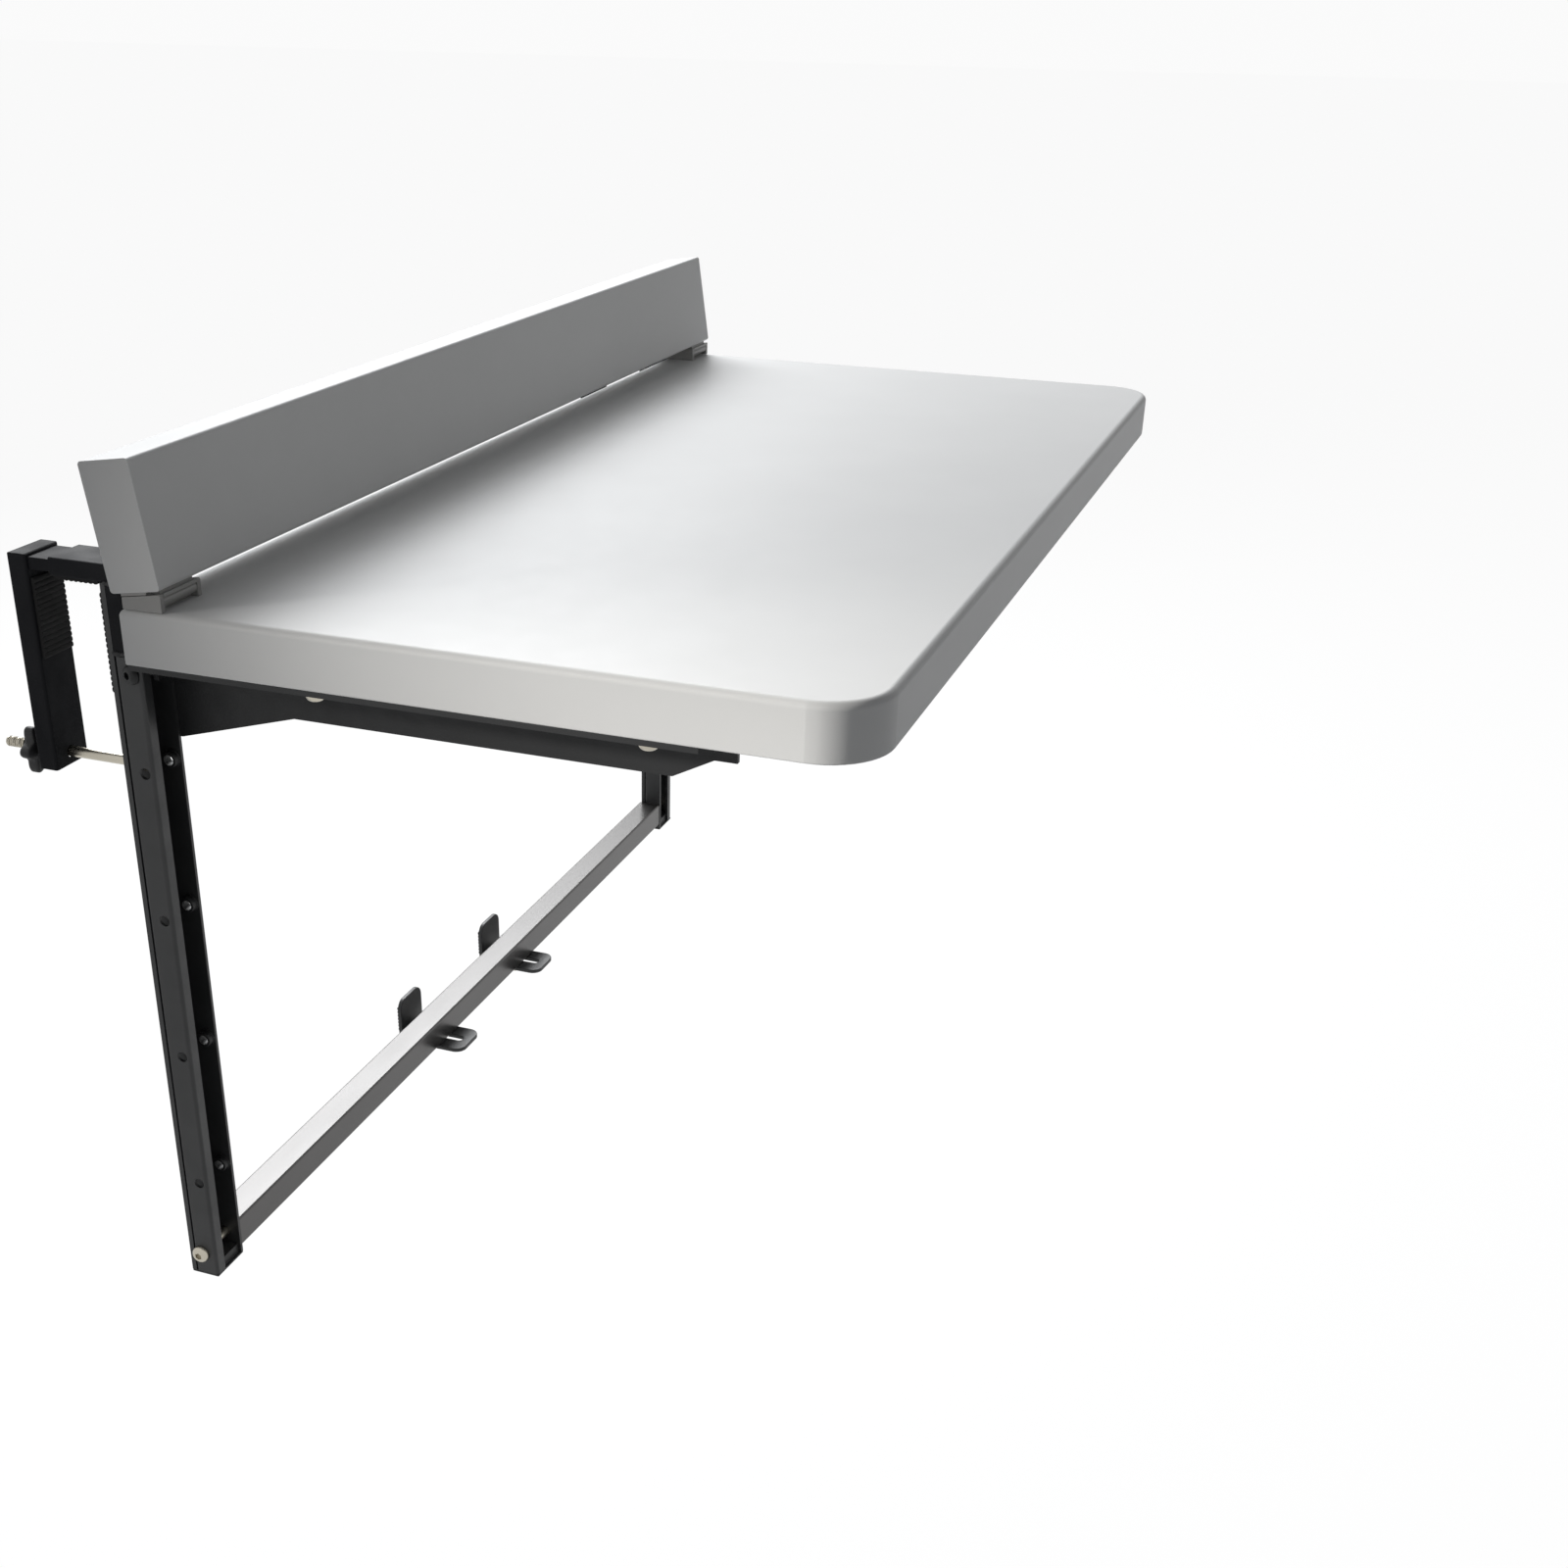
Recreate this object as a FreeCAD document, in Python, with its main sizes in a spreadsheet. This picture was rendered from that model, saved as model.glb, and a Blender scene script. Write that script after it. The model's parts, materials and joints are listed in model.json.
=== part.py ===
import FreeCAD, Part
import os
import Sketcher

# Balcony railing bar table: a slab on two steel arms, two uprights that hang on a handrail by
# sliding hooks, a lower crossbar with baluster clips, and a hinged guard board along the rear.
# Origin: mid length, on the handrail's front top edge. +X along the length, -Y the user's side, +Z up.

os.makedirs("parts", exist_ok=True)
doc = FreeCAD.newDocument("railing_bar_table")
sheet = doc.addObject("Spreadsheet::Sheet", "sizes")

SIZES = [
    # slab
    ("top_length", 800, "slab length"),
    ("top_depth", 400, "slab depth"),
    ("top_thick", 30, "slab thickness"),
    ("top_drop", 6, "slab top below the handrail top"),
    ("top_corner", 34, "front corner radius"),
    ("top_round", 4, "upper edge rounding"),
    ("top_under_round", 1, "lower edge rounding"),
    # uprights
    ("channel_width", 28, "channel across the length"),
    ("channel_depth", 15.5, "channel towards the user"),
    ("channel_wall", 2, "channel sheet"),
    ("channel_lip", 8, "inward lip on the outer side"),
    ("channel_round", 2, "channel bend radius"),
    ("channel_length", 395, "channel height"),
    ("channel_inset", 12, "slab end to channel"),
    ("channel_top_gap", 1, "slab underside to channel top"),
    ("rear_gap", 0.5, "slab rear edge to channel front"),
    ("strap_thick", 3, "flat bar behind the channel"),
    ("rear_pad", 2.5, "rubber behind the flat bar"),
    ("rear_pad_high", 54, "rubber behind the flat bar, height"),
    ("hole_radius", 3.25, "height holes"),
    ("hole_pitch", 88, "height hole spacing"),
    ("hole_first", 55.9, "pivot to first height hole"),
    ("hole_count", 4, "height holes per upright"),
    # arms
    ("arm_wall", 3, "angle sheet"),
    ("arm_depth", 33, "web depth along the arm"),
    ("arm_root", 53, "web depth at the upright"),
    ("arm_root_run", 72, "length of the deeper root"),
    ("arm_reach", 320.5, "slab rear edge to arm tip"),
    ("arm_nose_run", 34, "length of the tapered nose"),
    ("arm_nose_flat", 12, "flat end of the nose"),
    ("arm_nose_depth", 21.5, "web depth at the tip"),
    ("arm_side_gap", 0.3, "arm web to channel"),
    ("arm_edge", 0.5, "flange edge inside the slab end"),
    ("arm_lobe", 9.4, "web radius about the pivot"),
    ("tab_drop", 14.3, "slab underside to the end of the arm tab"),
    ("pivot_drop", 9.6, "slab underside to pivot"),
    ("pivot_inset", 5.5, "channel front to pivot"),
    ("bolt_radius", 3, "bolts and tie rods"),
    ("bolt_head", 5.5, "bolt head radius"),
    ("bolt_head_high", 3.6, "bolt head height"),
    ("run_gap", 0.1, "turning and sliding clearance"),
    ("screw_radius", 3, "arm screw shank"),
    ("screw_head", 5.5, "arm screw head radius"),
    ("screw_head_high", 1.7, "arm screw head height"),
    ("screw_long", 18, "arm screw length in the slab"),
    ("screw_inset", 9, "screw line from the slab end"),
    ("screw_rear", 16.5, "first screw from the rear edge"),
    ("screw_mid", 106, "second screw from the rear edge"),
    ("screw_front", 34, "third screw from the arm tip"),
    # hooks
    ("hook_width", 28, "hook tube across the length"),
    ("hook_high", 10, "hook tube height"),
    ("hook_wall", 1.6, "hook tube sheet"),
    ("hook_reach", 28, "hook tube past the handrail front"),
    ("post_depth", 9.5, "hook post towards the user"),
    ("pad_thick", 2, "rubber pads"),
    ("rail_room", 40, "handrail depth at rest"),
    ("slide_back", 6, "slider end behind the handrail front"),
    ("jaw_depth", 12, "jaw tube depth"),
    ("jaw_drop", 108.5, "jaw end below the handrail top"),
    ("jaw_pad_high", 44, "jaw pad height"),
    ("tie_drop", 101.5, "tie rod below the handrail top"),
    ("tie_past", 30, "tie rod past the jaw"),
    ("nut_flat", 10, "nut across flats"),
    ("nut_high", 5, "nut height"),
    ("knob_radius", 15, "star knob radius"),
    ("knob_long", 13, "star knob length"),
    # crossbar and clips
    ("bar_size", 20, "crossbar tube"),
    ("bar_wall", 1.5, "crossbar sheet"),
    ("bar_lift", 13.5, "crossbar middle above the channel end"),
    ("plug_long", 22, "plug in the crossbar end"),
    ("cap_thick", 2, "end cap flange"),
    ("cap_plug", 6, "end cap plug"),
    ("clip_width", 32, "clip across"),
    ("clip_thick", 3, "clip sheet"),
    ("clip_rise", 10.5, "clip above the crossbar"),
    ("clip_nose", 18, "clip in front of the crossbar"),
    ("clip_out", 11, "crossbar to the clip's rear plate"),
    ("clip_round", 8, "clip corner radius"),
    ("clip_travel", 18, "clip slot in front of its bolt"),
    ("clip_back", 10, "clip slot behind its bolt"),
    ("clip_first", 73, "first clip left of the middle"),
    ("clip_second", 63, "second clip right of the middle"),
    # guard board and hinges
    ("board_high", 66.2, "guard board height"),
    ("board_thick", 30, "guard board thickness"),
    ("board_tilt", 8.5, "guard board lean"),
    ("board_round", 2, "guard board edge rounding"),
    ("hinge_width", 36, "hinge across"),
    ("hinge_back", 22.7, "hinge line in front of the rear edge"),
    ("hinge_lift", 5, "hinge line above the slab"),
    ("cheek_wide", 3.2, "hinge cheek across"),
    ("cheek_front", 3.6, "hinge line to the cheek's front"),
    ("cheek_high", 4, "hinge line to the cheek's top"),
    ("cheek_round", 0.8, "cheek edge rounding"),
    ("rim_high", 1.8, "leaf rim above the barrel's recess"),
    ("barrel_radius", 2.9, "hinge barrel"),
    ("barrel_gap", 0.3, "barrel to cheeks"),
    ("leaf_thick", 1.6, "hinge leaf"),
    ("leaf_long", 20, "hinge leaf depth"),
    ("leaf_clear", 4.5, "hinge line to the leaf over the cheeks"),
    ("leaf_ahead", 1.5, "leaf in front of the hinge line"),
    ("pin_radius", 1.5, "hinge pin"),
    ("board_front", 4.5, "hinge line to board face"),
    ("board_lift", 6, "hinge line to board underside"),
    ("rest_gap", 0.15, "board rest to board"),
    ("rest_high", 8, "board rest height"),
]
for row, (alias, value, note) in enumerate(SIZES, 1):
    sheet.set("A%d" % row, note)
    sheet.set("B%d" % row, str(value))
    sheet.setAlias("B%d" % row, alias)

# Places that follow from the sizes.
PLACES = [
    ("back_thick", "rear_pad + strap_thick"),
    ("slab_top", "-top_drop"),
    ("slab_under", "-top_drop - top_thick"),
    ("channel_front", "-back_thick - channel_depth"),
    ("slab_rear", "-back_thick - channel_depth - rear_gap"),
    ("slab_front", "-back_thick - channel_depth - rear_gap - top_depth"),
    ("side_out", "top_length / 2 - channel_inset"),
    ("side_in", "top_length / 2 - channel_inset - channel_width"),
    ("side_mid", "top_length / 2 - channel_inset - channel_width / 2"),
    ("channel_top", "-top_drop - top_thick - channel_top_gap"),
    ("channel_end", "-top_drop - top_thick - channel_top_gap - channel_length"),
    ("pivot_y", "-back_thick - channel_depth + pivot_inset"),
    ("pivot_z", "-top_drop - top_thick - pivot_drop"),
    ("bar_z", "-top_drop - top_thick - channel_top_gap - channel_length + bar_lift"),
    ("bar_y", "-back_thick - channel_depth + rear_gap + bar_size / 2"),
    ("hook_under", "pad_thick"),
    ("hook_top", "pad_thick + hook_high"),
    ("jaw_front", "rail_room + pad_thick"),
    ("jaw_rear", "rail_room + pad_thick + jaw_depth"),
    ("hinge_y", "-back_thick - channel_depth - rear_gap - hinge_back"),
    ("hinge_z", "-top_drop + hinge_lift"),
]
for row, (alias, formula) in enumerate(PLACES, len(SIZES) + 1):
    sheet.set("A%d" % row, "place")
    sheet.set("B%d" % row, "=" + formula)
    sheet.setAlias("B%d" % row, alias)
doc.recompute()
WORDS = [a for a, v, n in SIZES] + [a for a, f in PLACES]


def bound(text):
    """Turns the words of a formula into cells of the sheet."""
    out = ""
    word = ""
    for ch in text + " ":
        if ch.isalnum() or ch == "_":
            word += ch
            continue
        out += ("sizes." + word) if word in WORDS else word
        word = ""
        out += ch
    return out.strip()


def number(text):
    """The value of a formula now."""
    probe = doc.getObject("probe") or doc.addObject("App::FeaturePython", "probe")
    if "value" not in probe.PropertiesList:
        probe.addProperty("App::PropertyFloat", "value")
    probe.setExpression("value", bound(text))
    probe.recompute()
    return probe.value


ALONG_X = FreeCAD.Rotation(0.5, 0.5, 0.5, 0.5)
ALONG_Y = FreeCAD.Rotation(FreeCAD.Vector(1, 0, 0), 90)
ALONG_Z = FreeCAD.Rotation()


def place(obj, at, turn=ALONG_Z):
    obj.Placement = FreeCAD.Placement(FreeCAD.Vector(0, 0, 0), turn)
    for axis, text in zip("xyz", at):
        obj.setExpression("Placement.Base." + axis, bound(text))


def box(name, size, at):
    obj = doc.addObject("Part::Box", name)
    for prop, text in zip(("Length", "Width", "Height"), size):
        obj.setExpression(prop, bound(text))
    place(obj, at)
    return obj


def rod(name, radius, length, at, turn=ALONG_Z):
    """A cylinder that starts at the place and runs along the turned Z."""
    obj = doc.addObject("Part::Cylinder", name)
    obj.setExpression("Radius", bound(radius))
    obj.setExpression("Height", bound(length))
    place(obj, at, turn)
    return obj


TO_X = FreeCAD.Rotation(FreeCAD.Vector(0, 1, 0), 90)
TO_Y = FreeCAD.Rotation(FreeCAD.Vector(1, 0, 0), -90)


def hexagon(name, flat, length, at, turn=ALONG_Z):
    obj = doc.addObject("Part::Prism", name)
    obj.Polygon = 6
    obj.setExpression("Circumradius", bound("(" + flat + ") / 1.7320508"))
    obj.setExpression("Height", bound(length))
    place(obj, at, turn)
    return obj


def cut(name, base, *tools):
    obj = doc.addObject("Part::Cut", name)
    obj.Base = base
    obj.Tool = tools[0] if len(tools) == 1 else fuse(name + "_tools", *tools)
    return obj


def fuse(name, *pieces):
    obj = doc.addObject("Part::MultiFuse", name)
    obj.Shapes = list(pieces)
    return obj


def seat(sketch, owner, at, turn):
    """Attaches a sketch to one of its body's origin planes, offset to its place."""
    x, y, z = at
    role, local = {0: ("YZ_Plane", (y, z, x)), 1: ("XZ_Plane", (x, z, "-(" + y + ")")),
                   2: ("XY_Plane", (x, y, z))}[(ALONG_X, ALONG_Y, ALONG_Z).index(turn)]
    plane = [f for f in owner.Origin.OriginFeatures if f.Role == role][0]
    sketch.AttachmentSupport = [(plane, "")]
    sketch.MapMode = "FlatFace"
    for axis, text in zip("xyz", local):
        sketch.setExpression("AttachmentOffset.Base." + axis, bound(text))


def outline(name, points, at, turn, owner):
    """A closed sketch whose corners are held by named distances from the sheet."""
    sketch = owner.newObject("Sketcher::SketchObject", name)
    seat(sketch, owner, at, turn)
    flat = [FreeCAD.Vector(number(u), number(v), 0) for u, v in points]
    count = len(flat)
    for i in range(count):
        sketch.addGeometry(Part.LineSegment(flat[i], flat[(i + 1) % count]), False)
    for i in range(count):
        sketch.addConstraint(Sketcher.Constraint("Coincident", i, 2, (i + 1) % count, 1))
    for i, (u, v) in enumerate(points):
        for kind, text, now in (("DistanceX", u, flat[i].x), ("DistanceY", v, flat[i].y)):
            index = sketch.addConstraint(Sketcher.Constraint(kind, -1, 1, i, 1, now))
            label = "%s%d" % (kind[-1].lower(), i)
            sketch.renameConstraint(index, label)
            sketch.setExpression("Constraints." + label, bound(text))
    return sketch


def rings(name, circles, at, turn, owner):
    """A sketch of circles, each a place and a radius."""
    sketch = owner.newObject("Sketcher::SketchObject", name)
    seat(sketch, owner, at, turn)
    for i, (u, v, r) in enumerate(circles):
        middle = FreeCAD.Vector(number(u), number(v), 0)
        sketch.addGeometry(Part.Circle(middle, FreeCAD.Vector(0, 0, 1), number(r)), False)
        held = (("x", u, Sketcher.Constraint("DistanceX", -1, 1, i, 3, middle.x)),
                ("y", v, Sketcher.Constraint("DistanceY", -1, 1, i, 3, middle.y)),
                ("r", r, Sketcher.Constraint("Radius", i, number(r))))
        for tag, text, rule in held:
            index = sketch.addConstraint(rule)
            sketch.renameConstraint(index, "%s%d" % (tag, i))
            sketch.setExpression("Constraints.%s%d" % (tag, i), bound(text))
    return sketch


def body(name):
    return doc.addObject("PartDesign::Body", name)


def pad(owner, sketch, length, back=False):
    obj = owner.newObject("PartDesign::Pad", sketch.Name + "_pad")
    obj.Profile = sketch
    obj.setExpression("Length", bound(length))
    obj.Reversed = back
    sketch.Visibility = False
    return obj


def pocket(owner, sketch, length, back=False):
    obj = owner.newObject("PartDesign::Pocket", sketch.Name + "_pocket")
    obj.Profile = sketch
    obj.setExpression("Length", bound(length))
    obj.Reversed = back
    return obj


def round_body(owner, radius, pick):
    """Rounds the edges of the body's last feature that the rule picks."""
    doc.recompute()
    last = owner.Tip
    names = ["Edge%d" % (i + 1) for i, e in enumerate(last.Shape.Edges) if pick(e)]
    obj = owner.newObject("PartDesign::Fillet", last.Name + "_round")
    obj.Base = (last, names)
    obj.setExpression("Radius", bound(radius))
    return obj


def round_part(name, base, radius, pick):
    doc.recompute()
    obj = doc.addObject("Part::Fillet", name)
    obj.Base = base
    size = number(radius)
    obj.Edges = [(i + 1, size, size) for i, e in enumerate(base.Shape.Edges) if pick(e)]
    return obj


def straight(edge, axis):
    """True for a straight edge along the axis 0, 1 or 2."""
    if len(edge.Vertexes) != 2:
        return False
    d = edge.Vertexes[1].Point - edge.Vertexes[0].Point
    return abs(abs(d[axis]) - d.Length) < 1e-6 and abs(edge.Length - d.Length) < 1e-6


def near(a, b):
    return abs(a - b) < 1e-4


NODES = []


def node(obj, label):
    obj.Label = label
    NODES.append(obj)
    return obj


def both(obj, name):
    """Keeps the left piece and its mirror image across the middle of the length."""
    node(obj, name + "_left")
    other = doc.addObject("Part::Mirroring", name + "_mirror")
    other.Source = obj
    other.Base = FreeCAD.Vector(0, 0, 0)
    other.Normal = FreeCAD.Vector(1, 0, 0)
    node(other, name + "_right")


# Slab
slab = body("slab")
face = outline("slab_plan", [("-top_length / 2", "slab_front"), ("top_length / 2", "slab_front"),
                             ("top_length / 2", "slab_rear"), ("-top_length / 2", "slab_rear")],
               ("0", "0", "slab_under"), ALONG_Z, slab)
pad(slab, face, "top_thick")
front = number("slab_front")
round_body(slab, "top_corner", lambda e: straight(e, 2) and near(e.CenterOfMass.y, front))
high = number("slab_top")
round_body(slab, "top_round", lambda e: near(e.BoundBox.ZMin, high) and near(e.BoundBox.ZMax, high))
low = number("slab_under")
round_body(slab, "top_under_round", lambda e: near(e.BoundBox.ZMin, low) and near(e.BoundBox.ZMax, low))
screw_x = "(top_length / 2 - screw_inset)"
arm_tip = "(slab_rear - arm_reach)"
screw_y = {"rear": "slab_rear - screw_rear", "mid": "slab_rear - screw_mid", "front": arm_tip + " + screw_front"}
pilots = []
for side in ("-", ""):
    for run in ("rear", "mid", "front"):
        pilots.append((side + screw_x, screw_y[run], "screw_radius"))
drill = rings("slab_pilots", pilots, ("0", "0", "slab_under"), ALONG_Z, slab)
pocket(slab, drill, "screw_long", True)
node(slab, "tabletop")

# Guard board: drawn about its hinge line, then leaned back.
board = body("board")
section = outline("board_section", [("-board_front", "board_lift"),
                                    ("board_thick - board_front", "board_lift"),
                                    ("board_thick - board_front", "board_lift + board_high"),
                                    ("-board_front", "board_lift + board_high")],
                  ("-top_length / 2", "0", "0"), ALONG_X, board)
pad(board, section, "top_length")
round_body(board, "board_round", lambda e: straight(e, 0))


def lean(obj):
    obj.Placement = FreeCAD.Placement(FreeCAD.Vector(0, 0, 0),
                                      FreeCAD.Rotation(FreeCAD.Vector(1, 0, 0), -number("board_tilt")))
    obj.setExpression("Placement.Base.y", bound("hinge_y"))
    obj.setExpression("Placement.Base.z", bound("hinge_z"))
    obj.setExpression("Placement.Rotation.Angle", bound("-board_tilt"))


lean(board)
node(board, "guard_board")

# Hinges: a base on the slab whose two cheeks hold the pin, and a leaf under the board whose barrel
# turns on the pin between them. Everything static stays inside the circle that the board sweeps.
end = "(-top_length / 2 + 0.5)"


def leaned(ahead, up):
    """Y and Z of a point ahead of and above the hinge line, both measured along the leaning board."""
    return ("(hinge_y - (%s) * cos(board_tilt * 1 deg) + (%s) * sin(board_tilt * 1 deg))" % (ahead, up),
            "(hinge_z + (%s) * sin(board_tilt * 1 deg) + (%s) * cos(board_tilt * 1 deg))" % (ahead, up))


front_y, front_z = leaned("cheek_front", "cheek_high")
tail_y, tail_z = leaned("-leaf_long", "cheek_high")
cheeks = body("cheeks")
side = outline("cheek_side", [(front_y, "slab_top"), (tail_y, "slab_top"), (tail_y, tail_z),
                              (front_y, front_z)], (end, "0", "0"), ALONG_X, cheeks)
pad(cheeks, side, "hinge_width")
over = number("hinge_z")
round_body(cheeks, "cheek_round", lambda e: straight(e, 0) and e.BoundBox.ZMin > over - 2)
inner = (end + " + cheek_wide", end + " + hinge_width - cheek_wide")
room = outline("cheek_room", [(inner[0], front_y + " - 1"), (inner[1], front_y + " - 1"),
                              (inner[1], tail_y + " + 1"), (inner[0], tail_y + " + 1")],
               ("0", "0", "slab_top + leaf_thick"), ALONG_Z, cheeks)
pocket(cheeks, room, "board_high", True)
notch = outline("cheek_notch", [(inner[0], front_y + " - 1"), (inner[1], front_y + " - 1"),
                                (inner[1], "hinge_y + 1.5"), (inner[0], "hinge_y + 1.5")],
                ("0", "0", "slab_top"), ALONG_Z, cheeks)
pocket(cheeks, notch, "leaf_thick + 1", True)
pin = rod("hinge_pin", "pin_radius", "hinge_width - 2", (end + " + 1", "hinge_y", "hinge_z"), TO_X)
both(fuse("hinge_base", cheeks, pin), "hinge_base")

middle = end + " + cheek_wide + barrel_gap"
wide = "hinge_width - 2 * (cheek_wide + barrel_gap)"
rim_low = "(cheek_high - rim_high)"
leaf_plate = box("leaf_plate", ("hinge_width", "leaf_long - leaf_clear", "leaf_thick"),
                 (end, "leaf_clear", "board_lift - leaf_thick"))
leaf_neck = box("leaf_neck", (wide, "leaf_ahead + leaf_clear + 1", "leaf_thick"),
                (middle, "-leaf_ahead", "board_lift - leaf_thick"))
leaf_riser = box("leaf_riser", (wide, "leaf_ahead + barrel_radius", "board_lift - leaf_thick / 2 - " + rim_low),
                 (middle, "-leaf_ahead", rim_low))
leaf_rim = box("leaf_rim", (wide, "cheek_front", "rim_high"), (middle, "-cheek_front", rim_low))
leaf_barrel = rod("leaf_barrel", "barrel_radius", wide, (middle, "0", "0"), TO_X)
leaf_solid = fuse("leaf_solid", leaf_plate, leaf_neck, leaf_riser, leaf_rim, leaf_barrel)
leaf_bore = rod("leaf_bore", "pin_radius + run_gap", "hinge_width + 2", (end + " - 1", "0", "0"), TO_X)
leaf = cut("hinge_leaf", leaf_solid, leaf_bore)
lean(leaf)
both(leaf, "hinge_leaf")

# Uprights: lipped channels, open to the user, drilled through both flanges.
upright = body("upright")
x0 = "-side_out"
x1 = "-side_in"
w = "channel_wall"
rear = "-back_thick"
plan = [(x0, rear), (x0, "channel_front"), (x0 + " + channel_lip", "channel_front"),
        (x0 + " + channel_lip", "channel_front + " + w), (x0 + " + " + w, "channel_front + " + w),
        (x0 + " + " + w, rear + " - " + w), (x1 + " - " + w, rear + " - " + w),
        (x1 + " - " + w, "channel_front"), (x1, "channel_front"), (x1, rear)]
section = outline("channel_plan", plan, ("0", "0", "channel_end"), ALONG_Z, upright)
pad(upright, section, "channel_length")
side_x = number("side_out")
round_body(upright, "channel_round", lambda e: straight(e, 2) and (
    near(e.BoundBox.XMin, -side_x)
    or (near(e.BoundBox.XMin, -number("side_in")) and near(e.BoundBox.YMin, number(rear)))))
drill = rings("channel_bolts", [("pivot_y", "pivot_z", "hole_radius"), ("bar_y", "bar_z", "hole_radius")],
              ("-side_out - 1", "0", "0"), ALONG_X, upright)
pocket(upright, drill, "channel_width + 2", True)
drill = rings("channel_row", [("pivot_y", "pivot_z - hole_first", "hole_radius")],
              ("-side_out - 1", "0", "0"), ALONG_X, upright)
row_pocket = pocket(upright, drill, "channel_width + 2", True)
row = upright.newObject("PartDesign::LinearPattern", "channel_row_pattern")
row.Originals = [row_pocket]
row.Direction = (drill, ["V_Axis"])
row.Reversed = True
row.setExpression("Length", bound("hole_pitch * (hole_count - 1)"))
row.setExpression("Occurrences", bound("hole_count"))
upright.Tip = row
drill = rings("channel_tie", [("-side_mid", "-tie_drop", "bolt_radius + run_gap")],
              ("0", "0", "0"), ALONG_Y, upright)
pocket(upright, drill, "back_thick + channel_wall + 1", True)
both(upright, "upright")

strap_bar = box("strap_bar", ("channel_width", "strap_thick", "hook_under - channel_end"),
                ("-side_out", "-back_thick", "channel_end"))
strap_hole = rod("strap_hole", "bolt_radius + run_gap", "strap_thick + 2",
                 ("-side_mid", "-back_thick - 1", "-tie_drop"), TO_Y)
both(cut("strap", strap_bar, strap_hole), "strap")
both(box("back_pad", ("channel_width - 4", "rear_pad", "rear_pad_high"),
         ("-side_out + 2", "-rear_pad", "-4 - rear_pad_high")), "back_pad")

# Hook: a post on the channel's top, a tube over the handrail and its pad.
left_hook = "-side_mid - hook_width / 2"
post_front = "-back_thick - post_depth"
post_low = box("post_plate", ("channel_width", "channel_depth", "hook_wall"),
               ("-side_out", "channel_front", "channel_top"))
post_bar = box("post_bar", ("hook_width", "post_depth", "hook_under - channel_top - hook_wall"),
               (left_hook, post_front, "channel_top + hook_wall"))
post_core = box("post_core", ("hook_width - 2 * hook_wall", "post_depth - 2 * hook_wall",
                              "hook_under - channel_top"),
                (left_hook + " + hook_wall", post_front + " + hook_wall", "channel_top + hook_wall"))
both(fuse("hook_post", post_low, cut("post_tube", post_bar, post_core)), "hook_post")

tube_bar = box("tube_bar", ("hook_width", "hook_reach - (" + post_front + ")", "hook_high"),
               (left_hook, post_front, "hook_under"))
tube_round = round_part("tube_round", tube_bar, "hook_wall",
                        lambda e: straight(e, 1) or (straight(e, 0) and near(e.BoundBox.YMax,
                                                                            number(post_front))))
tube_core = box("tube_core", ("hook_width - 2 * hook_wall", "hook_reach - (" + post_front + ") + 1",
                              "hook_high - 2 * hook_wall"),
                (left_hook + " + hook_wall", post_front + " + hook_wall", "hook_under + hook_wall"))
both(cut("hook_tube", tube_round, tube_core), "hook_tube")
both(box("hook_pad", ("hook_width - 4", "hook_reach - 1", "pad_thick"),
         (left_hook + " + 2", "0", "0")), "hook_pad")

# Rest: a rubber block on the hook that the guard board leans on.
rest_top = "(hook_under + hook_high / 2 + rest_high / 2)"
tilt = "tan(board_tilt * 1 deg)"
reach = "(board_thick - board_front)"
face_y = ("(hinge_y + " + reach + " * cos(board_tilt * 1 deg) + " + tilt + " * (" + rest_top
          + " - hinge_z + " + reach + " * sin(board_tilt * 1 deg)))")
both(box("board_rest", ("hook_width - 6", post_front + " - " + face_y + " - rest_gap", "rest_high"),
         (left_hook + " + 3", face_y + " + rest_gap", rest_top + " - rest_high")), "board_rest")

# Jaw: a slider in the hook tube, a tube down behind the handrail and its pad.
both(box("jaw_slide", ("hook_width - 2 * hook_wall - 2 * run_gap", "jaw_front - slide_back",
                       "hook_high - 2 * hook_wall - 2 * run_gap"),
         (left_hook + " + hook_wall + run_gap", "slide_back", "hook_under + hook_wall + run_gap")),
     "jaw_slide")
jaw_bar = box("jaw_bar", ("hook_width", "jaw_depth", "hook_top + jaw_drop"),
              (left_hook, "jaw_front", "-jaw_drop"))
jaw_round = round_part("jaw_round", jaw_bar, "hook_wall",
                       lambda e: straight(e, 2) or (straight(e, 0) and near(e.BoundBox.ZMin,
                                                                           number("hook_top"))))
jaw_core = box("jaw_core", ("hook_width - 2 * hook_wall", "jaw_depth - 2 * hook_wall",
                            "hook_top + jaw_drop"),
               (left_hook + " + hook_wall", "jaw_front + hook_wall", "-jaw_drop - hook_wall"))
jaw_hole = rod("jaw_hole", "bolt_radius + 0.4", "jaw_depth + 2",
               ("-side_mid", "jaw_front - 1", "-tie_drop"), TO_Y)
both(cut("jaw_tube", jaw_round, jaw_core, jaw_hole), "jaw_tube")
both(box("jaw_pad", ("hook_width - 4", "pad_thick", "jaw_pad_high"),
         (left_hook + " + 2", "rail_room", "-1 - jaw_pad_high")), "jaw_pad")

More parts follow.
